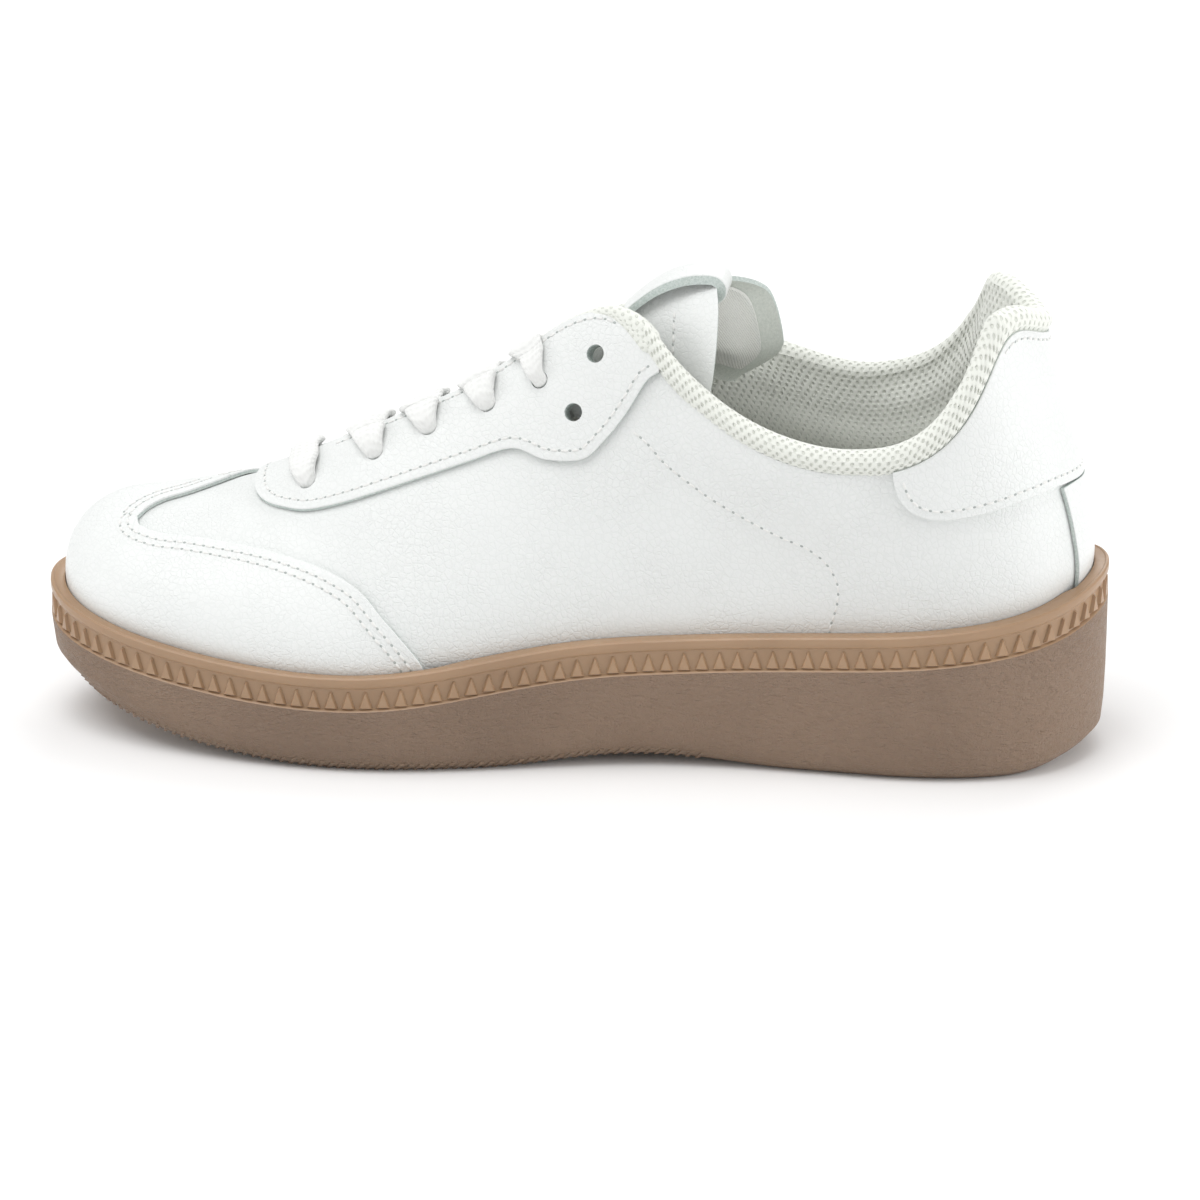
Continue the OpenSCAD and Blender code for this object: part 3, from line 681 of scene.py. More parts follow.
def board():
    """Pressed fibre with dark flecks."""
    look = Look("fibre_board", 0.85)
    flecks = look.noise(900, 5, 0.75)
    tone = look.colour(look.noise(80, 3), (0.50, 0.39, 0.23), (0.60, 0.48, 0.30))
    look.shade(tone, look.ramp(flecks, 0.55, 0.75, 0, 0.4), (0.28, 0.2, 0.11))
    look.bump(flecks, 0.15, 0.6)
    return look.material


def clear_film():
    """Clear film over the lace's end."""
    look = Look("aglet_film", 0.22, Specular_IOR_Level=0.5, Coat_Weight=0.5, Coat_Roughness=0.1)
    look.colour(look.noise(400, 2), (0.74, 0.74, 0.72), (0.82, 0.82, 0.80))
    look.bump(look.noise(900, 2), 0.06, 0.5)
    return look.material


LEATHER_LOOK = white_leather("white_leather")
BASE_LOOK = white_leather("white_leather_base", (0.785, 0.80, 0.79), 1.15)
CUT_LOOK = cut_edge()
FLESH_LOOK = flesh_side()
THREAD_LOOK = thread()
HOLE_SHADE_LOOK = needle_hole_shade()
GUM_SMOOTH = gum("gum_smooth", (0.325, 0.205, 0.120), (0.390, 0.250, 0.148), 0)
GUM_GRAIN = gum("gum_grain", (0.232, 0.155, 0.105), (0.280, 0.190, 0.130), 1)
MESH_LOOK = collar_mesh()
LINING_LOOK = knit("lining_knit", (0.64, 0.66, 0.62), (0.72, 0.73, 0.69))
TONGUE_LINING_LOOK = knit("tongue_lining_knit", (0.77, 0.78, 0.74), (0.83, 0.83, 0.80), 1300)
SOCK_LOOK = knit("sockliner_knit", (0.60, 0.60, 0.57), (0.69, 0.69, 0.66), 1100)
FELT_LOOK = knit("stiffener_felt", (0.58, 0.58, 0.54), (0.68, 0.68, 0.64), 1500)
LACE_LOOK = lace_tape()
PAD_LOOK = foam("pad_foam", (0.62, 0.57, 0.40), (0.80, 0.75, 0.56))
SOLE_FOAM_LOOK = foam("sole_foam", (0.66, 0.64, 0.59), (0.80, 0.78, 0.73))
BOARD_LOOK = board()
FILM_LOOK = clear_film()


# ---- Pieces ----
def settle(thing, body, slot, *nodes):
    """Rides a finished piece on its body and lets it stand for CAD nodes."""
    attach(thing, body)
    if nodes:
        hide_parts(*nodes)
    return thing


# Punched holes (station, height), the laced ones first.
EYELETS = [(5.52, 0.8), (6.44, 0.835), (7.1, 0.86), (7.77, 0.85), (8.3, 0.82), (8.9, 0.82), (8.53, 0.665)]
LACED = 5

# Depths that a punch spans.
PUNCH_ENDS = (-3, 9)
PUNCH_SIDES = 32


def side_rib(side, s):
    """Rib at a station of the inner (1) or outer (-1) side."""
    return s if side > 0 else 2 * HEEL - s


def eyelet_cutter():
    """One punch through each eyelet of both sides."""
    parts = []
    around = np.linspace(0, 2 * math.pi, PUNCH_SIDES + 1)[:-1]
    for side in (1, -1):
        for s, v in EYELETS:
            ends = [at(side_rib(side, s), v, depth) for depth in PUNCH_ENDS]
            axis = unit(ends[1] - ends[0])
            x = unit(np.cross(axis, (0.0, 0.0, 1.0)))
            y = np.cross(axis, x)
            circle = x * np.cos(around)[:, None] + y * np.sin(around)[:, None]
            points = np.concatenate([end + circle * EYELET_R for end in ends])
            n = len(around)
            faces = [[i, (i + 1) % n, n + (i + 1) % n, n + i] for i in range(n)]
            faces += [list(range(n))[::-1], list(range(n, 2 * n))]
            parts.append((points, faces, 1))
    points, faces, looks = join_parts(parts)
    return make("eyelet_punches", points, faces, [LEATHER_LOOK, CUT_LOOK], looks)


def punch(thing, cutter):
    """Cuts the eyelets out of a sheet."""
    cut = thing.modifiers.new("eyelets", "BOOLEAN")
    cut.operation = "DIFFERENCE"
    cut.solver = "EXACT"
    cut.object = cutter
    finish_modifiers(thing)


# Outlines of the overlays, as (station, height) points. Heights over 1 lie across the crest.
GUARD_NEAR = [(2.46, 0.695), (2.6, 0.652), (3.1, 0.625), (3.7, 0.62), (4.4, 0.585), (5, 0.525),
              (5.5, 0.44), (5.8, 0.355), (6, 0.235), (6.2, 0.115), (6.36, 0), (6.4, HEM)]
GUARD_FAR = [(2.46, 1.305), (2.55, 1.23), (2.8, 1.16), (3.4, 1.09), (4, 1), (4.4, 0.88), (4.62, 0.78),
             (4.85, 0.68), (5.2, 0.57), (5.6, 0.42), (6, 0.2), (6.36, 0), (6.4, HEM)]
GUARD_TIP = 2.46
GUARD_SPLIT = 0.695
STAY_EDGE = [(4.65, 1), (4.68, 0.9), (4.76, 0.82), (4.94, 0.755), (5.18, 0.712), (5.4, 0.685), (5.8, 0.672),
             (6.4, 0.675), (7.4, 0.672), (7.85, 0.655), (8.15, 0.57), (8.5, 0.53), (8.75, 0.56),
             (9, 0.61), (9.3, 0.7), (9.7, 0.87), (9.85, 0.95)]
PATCH_EDGE = [(12.7, 0.985), (12.7, 0.9), (12.72, 0.78), (12.8, 0.7), (13, 0.635), (13.3, 0.59), (13.7, 0.54),
              (14.2, 0.48), (14.8, 0.42), (15.5, 0.39), (17, 0.38)]
BACKSTAY_FRONT = 15.5
BACKSTAY_TOP = 0.378
COLLAR_FRONT = 9.62
COUNTER_FRONT = 13
COUNTER_TOP = 0.6
PUFF_END = 2.6
STAY_END = 9.3
SIDES = ((1, "medial"), (-1, "lateral"))

# About how many millimetres one station and one whole height are.
OUTLINE_SCALE = np.array([13.0, 60.0])


def outline(points, count):
    """Smooth outline through (station, height) points, evenly spaced on the upper."""
    return spline(np.array(points) * OUTLINE_SCALE, count) / OUTLINE_SCALE


def upper_sheet(name, look, parts, slot, cutter=None):
    """Sheet of the upper, which stands for the CAD node of the same name."""
    points, faces, looks = join_parts(parts)
    thing = make(name, points, faces, [look, CUT_LOOK], looks)
    if cutter:
        punch(thing, cutter)
    settle(thing, "shoe", slot, name)


def base_upper(cutter):
    """One sheet of leather all round, under the overlays."""
    t = HEEL - np.linspace(RIBS, 0, 397)
    part = strip(at, t, HEM, 1.0, BASE_D, LEATHER, 64, 0.05, cut_round(0.35, station(t)))
    upper_sheet("base_upper", BASE_LOOK, [part], "white_leather", cutter)


def mudguard():
    """Guard round the toe, in three strips: the inner side below its window, the inner side
    above it up to the crest, and the outer side."""
    front = np.linspace(TOE, GUARD_TIP, 24)[:-1]
    near = outline(GUARD_NEAR, 70)
    far = outline(GUARD_FAR, 70)
    crossing = np.interp(1, far[::-1, 1], far[::-1, 0])
    above = np.r_[far[far[:, 1] > 1], [[crossing, 1]]]

    def rows(edge, heights, before):
        """Stations from the toe's tip on, the edge's height at each, and its radius."""
        s = np.r_[front, edge[:, 0]]
        height = np.r_[np.full(len(front), before), heights]
        return s, height, 0.45 * ease(GUARD_TIP, GUARD_TIP + 0.05, s)

    s, top, rounded = rows(near, near[:, 1], GUARD_SPLIT)
    parts = [strip(at, s, HEM, top, 0, LEATHER, 40, 0.05, rounded)]
    s, bottom, rounded = rows(above, 2 - above[:, 1], GUARD_SPLIT)
    parts.append(strip(at, s, np.minimum(bottom, 1), 1.0, 0, LEATHER, 20, rounded, 0.0))
    s, top, _ = rows(far, far[:, 1], 1.0)
    both = np.unique(np.r_[s, above[:, 0]])
    top = np.interp(both, s, np.minimum(top, 1))
    rounded = np.where(both <= crossing, 0, 0.45)
    parts.append(strip(at, (1 - both)[::-1], HEM, top[::-1], 0, LEATHER, 56, 0.05, rounded[::-1]))
    upper_sheet("mudguard", LEATHER_LOOK, parts, "white_leather")


def eyestay(cutter):
    """Overlay that carries the eyelets, joined across the crest in front of the throat."""
    edge = outline(STAY_EDGE, 130)
    s = edge[:, 0]
    rounded = cut_round(0.4, s)
    low = np.minimum(edge[:, 1], 1)
    parts = [strip(at, s, low, 1.0, 0, LEATHER, 26, 0.28, rounded)]
    parts.append(strip(at, (1 - s)[::-1], low[::-1], 1.0, 0, LEATHER, 26, 0.28, rounded[::-1]))
    upper_sheet("eyestay", LEATHER_LOOK, parts, "white_leather", cutter)


def heel_patch():
    """Overlay over the top of the heel."""
    edge = outline(PATCH_EDGE, 90)
    t = np.r_[edge[:, 0], 2 * HEEL - edge[-2::-1, 0]]
    low = np.r_[edge[:, 1], edge[-2::-1, 1]]
    part = strip(at, t, low, 0.995, 0, LEATHER, 30, 0.45, 0.3, capped=True)
    upper_sheet("heel_patch", LEATHER_LOOK, [part], "white_leather")


def backstay():
    """Strip down the middle of the heel. Its rows are heights, and its width runs along t."""
    def place(v, t, depth):
        return at(t, v, depth)

    v = np.linspace(BACKSTAY_TOP, HEM, 40)
    part = strip(place, v, BACKSTAY_FRONT, 2 * HEEL - BACKSTAY_FRONT, 0, LEATHER, 26, 0.2, 0.2, capped=True)
    upper_sheet("backstay", LEATHER_LOOK, [part], "white_leather")


def stiffeners(cutter):
    """Toe puff, heel counter and eyelet stays, hidden between leather and lining."""
    t = np.linspace(1 - PUFF_END, PUFF_END, 40)
    part = strip(at, t, INNER_HEM, 1.0, STIFF_D, THIN, 24, 0.05, 0.0, capped=True)
    upper_sheet("toe_puff", FELT_LOOK, [part], "stiffener")
    t = np.linspace(COUNTER_FRONT, 2 * HEEL - COUNTER_FRONT, 60)
    part = strip(at, t, INNER_HEM, COUNTER_TOP, STIFF_D, THIN, 20, 0.05, 0.3, capped=True)
    upper_sheet("heel_counter", FELT_LOOK, [part], "stiffener")
    for side, name in SIDES:
        t = side_rib(side, np.linspace(THROAT + 0.1, STAY_END, 50))[::side]
        part = strip(at, t, 0.66, 0.97, STIFF_D, THIN, 14, 0.2, 0.2, capped=True)
        upper_sheet("eyelet_stay_" + name, FELT_LOOK, [part], "stiffener", cutter)


def vamp_lining(cutter):
    """Cloth inside the toe and under the eyelets, up to the collar."""
    end = COLLAR_FRONT - 0.05
    t = np.linspace(1 - end, end, 241)
    rounded = cut_round(0.2, station(t))
    part = strip(at, t, INNER_HEM, 1.0, LINING_D, THIN, 40, 0.05, rounded, capped=True)
    upper_sheet("vamp_lining", LINING_LOOK, [part], "lining_cloth", cutter)


# ---- Collar ----
# How far the roll's middle is lifted over the crest, in front and from there back.
ROLL_LOW = 0.9
ROLL_LIFT = ROLL_H - ROLL_LOW
COLLAR_ROWS = 470

# The lining's columns, close together on the first share of it, which covers the roll.
ROLL_COLUMNS = 74
INSIDE_COLUMNS = 30
ROLL_SHARE = 0.44
BINDING_FRONT = 8.35
BINDING_END = COLLAR_FRONT + 0.2
BINDING_R = 2.6
ROLL_ANGLES = (-45, -15, 20, 55, 90, 125, 160, 195)
LINING_HEIGHTS = (0.9, 0.78, 0.66, 0.6, 0.5, 0.35, 0.18, 0, INNER_HEM)


def roll_thick(t):
    """Half the roll's thickness across the collar."""
    return mix(ROLL_FRONT, ROLL_BACK, ease(COLLAR_FRONT, COLLAR_FRONT + 2.4, station(t)))


def roll_steep(t):
    """How much taller an upright section is than one square to the roll."""
    along = unit(crest(t + 0.05) - crest(t - 0.05))
    return 1 / np.maximum(np.hypot(along[..., 0], along[..., 1]), 0.65)


def roll_middle(t):
    """Middle of the roll. It bulges out over the overlays' top edges in front and at the heel."""
    s = station(t)
    bulge = 1.5 + 1.4 * (1 - ease(9.9, 10.5, s)) + 1.1 * ease(12.2, 12.8, s)
    middle = crest(t) + CENTRE - outward(t) * (ROLL_D + roll_thick(t) - bulge)[..., None]
    middle[..., 2] += mix(ROLL_LOW, ROLL_LIFT, ease(10.1, 11.6, s)) * roll_steep(t)
    return middle


def roll_point(t, angle, inset):
    """Point of the roll's section at an angle up from its outer side, an inset under its surface."""
    c, s = math.cos(math.radians(angle)), math.sin(math.radians(angle))
    out = roll_middle(t) + outward(t) * ((roll_thick(t) - inset) * c)[..., None]
    out[..., 2] += (ROLL_H * roll_steep(t) - inset) * s
    return out


def net_hole(u, v):
    """1 in the middle of each open cell of the mesh, 0 on its yarns."""
    net = np.cos(math.pi * u / MESH_U) * np.cos(math.pi * v / MESH_V)
    return ease(0.25, 0.85, net)


def lining_depth(v):
    """Depth of the lining's inner face, deeper where the foam lies behind it."""
    return mix(LINING_D, PAD_LINING_D, ease(0.5, 0.64, np.float64(v))) + THIN


def collar_lining():
    """Mesh over the padded roll, which runs down inside the shoe as the plain lining."""
    t = np.linspace(COLLAR_FRONT, 2 * HEEL - COLLAR_FRONT, 2000)
    far = travelled(roll_point(t, 90, 0))
    t = np.interp(np.linspace(0, far[-1], COLLAR_ROWS), far, t)
    control = [at(t, v, STIFF_D) for v in (0.86, 0.93)]
    control += [roll_point(t, angle, 0) for angle in ROLL_ANGLES]
    control += [at(t, v, lining_depth(v)) for v in LINING_HEIGHTS]
    control = np.stack(control, 1)
    path = np.stack([spline(c, 400) for c in control])
    share = np.r_[np.linspace(0, ROLL_SHARE, ROLL_COLUMNS),
                  np.linspace(ROLL_SHARE, 1, INSIDE_COLUMNS + 1)[1:]]
    pick = share * 399
    i = np.minimum(pick.astype(int), 398)
    grid = mix(path[:, i], path[:, i + 1], (pick - i)[None, :, None])
    u = lengths(grid, 0)[:, None]
    v = lengths(grid, 1)[None, :]
    n = grid_normal(grid)
    sag = 0.45 * net_hole(u, v) * (1 - ease(0.36, ROLL_SHARE, share))
    padded = ease(0.28, 0.4, share) * (1 - ease(0.6, 0.9, share))
    puff = 0.35 * np.sin(u / 9.5) * np.sin(u / 23.0 + 1) * padded
    outer = grid + n * (puff - sag)[..., None]
    inner = grid - n * THIN
    points, faces, looks = shell(outer, inner)
    uv = np.stack(np.broadcast_arrays(u, v), -1).reshape(-1, 2)
    thing = make("collar_lining", points, faces, [MESH_LOOK, LINING_LOOK], looks, np.r_[uv, uv], 0)
    settle(thing, "shoe", "collar_mesh", "collar_lining")


def collar_binding(side):
    """Thin roll of the same mesh along the throat's upper edge, which grows into the collar."""
    s = np.linspace(BINDING_FRONT, BINDING_END, 120)
    t = side_rib(side, s)
    grow = ease(8.75, COLLAR_FRONT + 0.05, s)
    n = outward(t)
    thin_edge = at(t, 1.0, 1.5)
    path = mix(thin_edge, roll_middle(t), grow[:, None])
    along = unit(np.gradient(path, axis=0))
    lifted = unit(np.cross(along, n))
    lifted *= np.sign(lifted[:, 2:3])
    closing = 1 - 0.5 * ease(COLLAR_FRONT + 0.06, BINDING_END, s)
    wide = mix(1.6, roll_thick(t) + 0.1, grow) * closing
    tall = mix(0.8, ROLL_H + 0.1, grow) * closing
    points, faces, uv = swept(path, n, lifted, wide, tall, sides=40, power=0.95)
    # The mesh repeats by millimetres round the roll, not by turns.
    uv[:, 1] *= 2 * math.pi * BINDING_R
    name = "collar_binding_" + dict(SIDES)[side]
    thing = make(name, points, faces, [MESH_LOOK], uv=uv, weld=0.004, sharp=70)
    settle(thing, "shoe", "collar_mesh")


def collar_foam():
    """Pad between the leather and the mesh."""
    t = np.linspace(COLLAR_FRONT + 0.1, 2 * HEEL - COLLAR_FRONT - 0.1, 150)
    outside = [at(t, v, LINING_D) for v in (0.66, 0.78, 0.88)]
    outside += [roll_point(t, a, 1) for a in (-40, 20, 80)]
    inside = [at(t, v, LINING_D + PAD_T) for v in (0.66, 0.78, 0.9)]
    inside += [roll_point(t, a, 1) for a in (190, 150, 110)]
    outer = np.stack([spline(row, 18) for row in np.stack(outside, 1)])
    inner = np.stack([spline(row, 18) for row in np.stack(inside, 1)])
    points, faces, looks = shell(outer, inner, 0, 0)
    thing = make("collar_foam", points, faces, [PAD_LOOK], looks)
    settle(thing, "shoe", "pad_foam", "collar_foam")


# ---- Tongue ----
# Each row: x and the crest's height, half the width, how far the edges drop, how much the
# section leans, and how far its outer wing sweeps back.
TONGUE = np.array([
    (-74, 55.5, 16, 9, 0, 0), (-60, 62.3, 16.5, 14.5, 0.05, 0), (-40, 73, 17, 18, 0.2, 0),
    (-28, 78.8, 17, 19, 0.22, 0), (-17, 85.2, 15, 20, 0.3, 0), (-5, 94.2, 11, 20, 0.4, 0),
    (7, 103.8, 9.5, 20, 0.36, 0), (12, 107.3, 8.5, 20, 0.25, 0), (20, 112.6, 8.5, 20, 0.1, 3),
    (28, 115.8, 11.5, 19, 0, 8), (36, 117.6, 19, 18.5, 0, 15),
])
TONGUE_FOAM_D = LEATHER + GAP
TONGUE_LINING_D = TONGUE_FOAM_D + TONGUE_PAD + GAP
TONGUE_FRONT = -74
TONGUE_TOP = 36
FAR_FALL = 13
NEAR_FALL = 7
LABEL_T = 2.6
LABEL_FRONT = 12.5
LABEL_END = 34.2
LABEL_HALF = 6
LABEL_FLAT = 0.78
LABEL_CURL = 1.6
LABEL_TURN = math.radians(165)
LABEL_ROWS = 84


def tongue_value(x, k):
    """A column of the tongue's table, read at x."""
    return through(TONGUE[:, [0, k]], x)


def tongue_point(x, q, depth):
    """Point on the tongue: q runs from -1 at the inner edge over 0 on the crest to 1 outside."""
    x, q, depth = np.broadcast_arrays(np.asarray(x, float), np.asarray(q, float), np.asarray(depth, float))
    a = q * math.pi / 2
    half, drop = tongue_value(x, 2), tongue_value(x, 3)
    free = ease(14, 30, x)
    end = ease(20, TONGUE_TOP, x)
    sweep = np.where(q > 0, tongue_value(x, 5) * np.abs(np.sin(a))**1.5 * (1 - 0.8 * ease(0.78, 1, q)), 0)
    fall = end * (FAR_FALL * ease(0.5, 1, q) + NEAR_FALL * ease(0.5, 1, -q))
    tuck = 1 - 0.16 * end * ease(0.5, 1, -q)
    wave = free * (0.7 * np.sin(7 * q - x / 9) * ease(0.2, 0.7, q)
                   + 0.3 * np.sin(6 * q + x / 7) * ease(0.2, 0.7, -q))
    belly = np.sin(math.pi * np.clip((np.abs(q) - 0.15) / 0.85, 0, 1))
    scallop = free * (1.6 * belly - 0.5) * ease(0, 0.15, np.abs(q))
    deep = depth + wave
    y = (half - deep) * np.sin(a) * tuck
    z = tongue_value(x, 1) - drop + (drop - deep) * np.cos(a) - tongue_value(x, 4) * half * np.sin(a) - fall
    return np.stack([x + sweep + scallop * ease(28, TONGUE_TOP, x), y, z], -1) + CENTRE


def tongue_layer(name, looks, front, back, reach, depths, nodes, rounding, closing=0.0, inner_look=0):
    """Layer of the tongue between two depths. closing draws both up to the leather along its free edge."""
    x = np.linspace(front, back, 140)

    def place(rows, q, depth):
        rim = np.maximum(ease(back - 7, back, rows), ease(0.8, 1, np.abs(q) / reach) * ease(0, 12, rows))
        return tongue_point(rows, q, depth - closing * rim**2)

    points, faces, kinds = strip(place, x, -reach, reach, depths[0], depths[1] - depths[0], 60,
                                 rounding, rounding, True, inner_look)
    thing = make(name, points, faces, looks, kinds)
    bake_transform(thing)
    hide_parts(*nodes)
    return thing


def tongue():
    """Leather with its napped inner face, pad and lining, each one piece across the hinge."""
    tongue_layer("tongue_leather", [LEATHER_LOOK, CUT_LOOK, FLESH_LOOK], TONGUE_FRONT, TONGUE_TOP, 1.0,
                 (0, LEATHER), ("tongue_face", "flap_face"), 0.25, inner_look=2)
    pad_depths = (TONGUE_FOAM_D, TONGUE_FOAM_D + TONGUE_PAD - 0.3)
    pad = tongue_layer("tongue_padding", [PAD_LOOK] * 2, TONGUE_FRONT + 2, TONGUE_TOP - 6, 0.8,
                       pad_depths, ("tongue_foam", "flap_foam"), 0.9)
    lining_depths = (TONGUE_LINING_D, TONGUE_LINING_D + THIN)
    tongue_layer("tongue_lining", [TONGUE_LINING_LOOK] * 2, TONGUE_FRONT, TONGUE_TOP - 2.8, 0.9,
                 lining_depths, ("tongue_lining", "flap_lining"), 0.3,
                 TONGUE_LINING_D - TONGUE_FOAM_D)


def tongue_label():
    """Folded strip along the crest of the tongue, which bows up and curls over its top."""
    k = np.linspace(0, 1, LABEL_ROWS)
    flat = np.clip(k / LABEL_FLAT, 0, 1)
    lift = 0.25 + 0.7 * ease(0, LABEL_FLAT, k) + 1.3 * np.sin(np.pi * flat)**0.8
    along = mix(LABEL_FRONT, LABEL_END, flat)
    turn = np.clip((k - LABEL_FLAT) / (1 - LABEL_FLAT), 0, 1) * LABEL_TURN
    half = LABEL_HALF - 0.8 * ease(LABEL_FLAT, 1, k)

    def place(row, q, depth):
        i = row * (LABEL_ROWS - 1)
        x, rise, bend, width = (np.interp(i, np.arange(LABEL_ROWS), a) for a in (along, lift, turn, half))
        sag = 0.7 * (q * width / LABEL_HALF)**2
        p = np.stack([x, q * width, tongue_value(x, 1) + rise - sag], -1) + CENTRE
        radius = LABEL_CURL + LABEL_T - depth
        p[..., 0] += np.sin(bend) * radius
        p[..., 2] += np.cos(bend) * radius - LABEL_CURL
        return p

    points, faces, looks = strip(place, k, -1.0, 1.0, 0, LABEL_T, 16, 0.35, 0.35, capped=True)
    thing = make("tongue_label", points, faces, [LEATHER_LOOK, CUT_LOOK], looks)
    settle(thing, "tongue_flap", "white_leather", "tongue_label")


# ---- Stitching ----
PITCH = 2.7


def stitch_row(place, params, pitch=PITCH, length=0.66, radius=0.36):
    """Threads end to end along a line on a surface, with a dark disc between each two, the painted shade of a
    needle hole.
    """
    fine = spline(np.asarray(params, float), 400)
    line = place(fine[:, 0], fine[:, 1], 0.0)
    far = travelled(line)
    count = max(2, int(round(far[-1] / pitch)))
    marks = np.linspace(0, far[-1], count + 1)
    above = place(fine[:, 0], fine[:, 1], -0.5)
    parts = []
    for a, b in zip(marks[:-1], marks[1:]):
        m = (a + b) / 2
        p, end = (read(line, far, d) for d in (m, b))
        up = unit(read(above - line, far, m))
        along = read(line, far, m + 0.3) - read(line, far, m - 0.3)
        along = unit(along - up * (along @ up))
        side = np.cross(up, along)
        half = (b - a) * length / 2
        parts.append(blob(p + up * 0.02, along * half, side * radius, up * radius * 0.9, 0))
        # The dark disc at the stitch's end is the painted shade of its needle hole.
        parts.append(blob(end - up * 0.02, along * 0.42, side * 0.34, up * 0.09, 1))
    return parts


def blob(centre, a, b, c, look, rings=6, sides=8):
    """Small rounded form with three half axes."""
    turn = np.linspace(0, math.pi, rings + 1)[1:-1]
    around = np.linspace(0, 2 * math.pi, sides + 1)[:-1]
    body = (centre + np.cos(turn)[:, None, None] * a
            + np.sin(turn)[:, None, None] * (np.cos(around)[:, None] * b + np.sin(around)[:, None] * c))
    points = np.concatenate([body.reshape(-1, 3), [centre + a, centre - a]])
    n = len(turn)
    pairs = [(j, (j + 1) % sides) for j in range(sides)]
    faces = [[i * sides + j, i * sides + k, (i + 1) * sides + k, (i + 1) * sides + j]
             for i in range(n - 1) for j, k in pairs]
    faces += [[n * sides, k, j] for j, k in pairs]
    faces += [[n * sides + 1, (n - 1) * sides + j, (n - 1) * sides + k] for j, k in pairs]
    return points, faces, look


def inset(edge, distance, side=1):
    """A line on the inner side's (rib, height) plane, moved across the surface to its left."""
    edge = np.asarray(edge, float)
    t, v = edge[:, 0], np.clip(edge[:, 1], 0.002, 0.99)
    along = unit(np.gradient(at(t, v, 0), axis=0))
    to_left = np.cross(normal(t, v), along) * side
    st = (at(t + 0.01, v, 0) - at(t - 0.01, v, 0)) / 0.02
    sv = (at(t, v + 0.005, 0) - at(t, v - 0.005, 0)) / 0.01
    a, b, c = (st * st).sum(-1), (st * sv).sum(-1), (sv * sv).sum(-1)
    x, y = (st * to_left).sum(-1), (sv * to_left).sum(-1)
    det = a * c - b * b
    return np.stack([t + distance * (c * x - b * y) / det, v + distance * (a * y - b * x) / det], 1)


def mirrored(line):
    """The same line on the outer side."""
    return np.stack([2 * HEEL - line[:, 0], line[:, 1]], 1)


def both_sides(place, row, **sizes):
    """The same row of stitches on the inner and the outer side."""
    return stitch_row(place, row, **sizes) + stitch_row(place, mirrored(row), **sizes)


def stitches(name, parts, body="shoe"):
    """One object from rows of stitches."""
    points, faces, looks = join_parts(parts)
    thing = make(name, points, faces, [THREAD_LOOK, HOLE_SHADE_LOOK], looks, weld=0)
    settle(thing, body, "white_leather")


QUARTER_ROW = [(9.1, 0.585), (9.22, 0.57), (9.32, 0.55), (9.4, 0.53), (9.52, 0.515), (9.9, 0.495),
               (10.38, 0.485), (10.84, 0.465), (11.14, 0.44), (11.26, 0.38), (11.26, 0.285),
               (11.14, 0.17), (11.0, 0.065), (10.96, 0.01)]
TONGUE_ROW_X = 25.5


def on_base(t, v, depth):
    """Like at, but from the surface of the base upper under the overlays."""
    return at(t, v, depth + BASE_D)


def guard_stitches():
    near = outline(GUARD_NEAR[:-1], 120)
    far = outline([p for p in GUARD_FAR if p[1] <= 1][:-1], 80)
    above = np.array([p for p in GUARD_FAR if p[1] >= 1])
    above = outline(np.stack([above[:, 0], 2 - above[:, 1]], 1), 60)
    parts = []
    for distance in (2.6, 4.8):
        under_tip = inset(near, distance, -1)
        over_tip = inset(above, distance)
        outer = inset(far, distance, -1)
        tip = (GUARD_TIP - distance / 13.5, GUARD_SPLIT)
        parts += stitch_row(at, under_tip[under_tip[:, 1] > 0.01])
        parts += stitch_row(at, over_tip[over_tip[:, 1] < 0.99])
        parts += stitch_row(at, mirrored(outer[outer[:, 1] > 0.01]))
        parts += stitch_row(at, np.array([under_tip[0], tip, over_tip[0]]))
    stitches("mudguard_stitching", parts)


def eyestay_stitches():
    line = inset(outline(STAY_EDGE[2:-1], 200), 2.6)
    by_gap = np.stack([np.linspace(5.95, 9.2, 60), np.full(60, 0.965)], 1)
    front = np.array([line[0], (4.83, 0.93), (4.8, 0.985)])
    parts = []
    for row in (line[line[:, 1] < 0.96], by_gap, front):
        parts += both_sides(at, row)
    stitches("eyestay_stitching", parts)


def patch_stitches():
    line = inset(outline(PATCH_EDGE, 120), 2.4)
    line = line[(line[:, 1] < 0.93) & (line[:, 0] < HEEL - 0.1)]
    round_heel = np.r_[line, mirrored(line)[::-1]]
    top = np.stack([np.linspace(14.9, 2 * HEEL - 14.9, 40), np.full(40, 0.955)], 1)
    stitches("heel_patch_stitching", stitch_row(at, round_heel) + stitch_row(at, top))


def quarter_stitches():
    stitches("quarter_stitching", both_sides(on_base, np.array(QUARTER_ROW), radius=0.26))


def tongue_stitches():
    parts = []
    for side in (-1, 1):
        row = np.stack([np.full(20, TONGUE_ROW_X), side * np.linspace(0.42, 0.9, 20)], 1)
        parts += stitch_row(tongue_point, row)
    stitches("tongue_stitching", parts, "tongue_flap")


# ---- Lace ----
# The lace's way down an eyelet: height over the hole's middle, depth, half width, half thickness.
DIVE = [(0.11, -1.4, 4.9, 1.2), (0.085, -1.7, 4.5, 1.4), (0.055, -1.85, 3.9, 1.6), (0.028, -1.5, 3.2, 1.8),
        (0.01, -0.5, 2.6, 1.9), (0, 1.0, 2.1, 1.9), (0, 4.2, 1.9, 1.5), (0.012, 5.9, 2.2, 0.9),
        (0.05, 6.0, 2.8, 0.8)]
LAST_SLIM = 0.72
AGLET_L = 20
AGLET_R = 1.15
AGLET_RINGS = 24


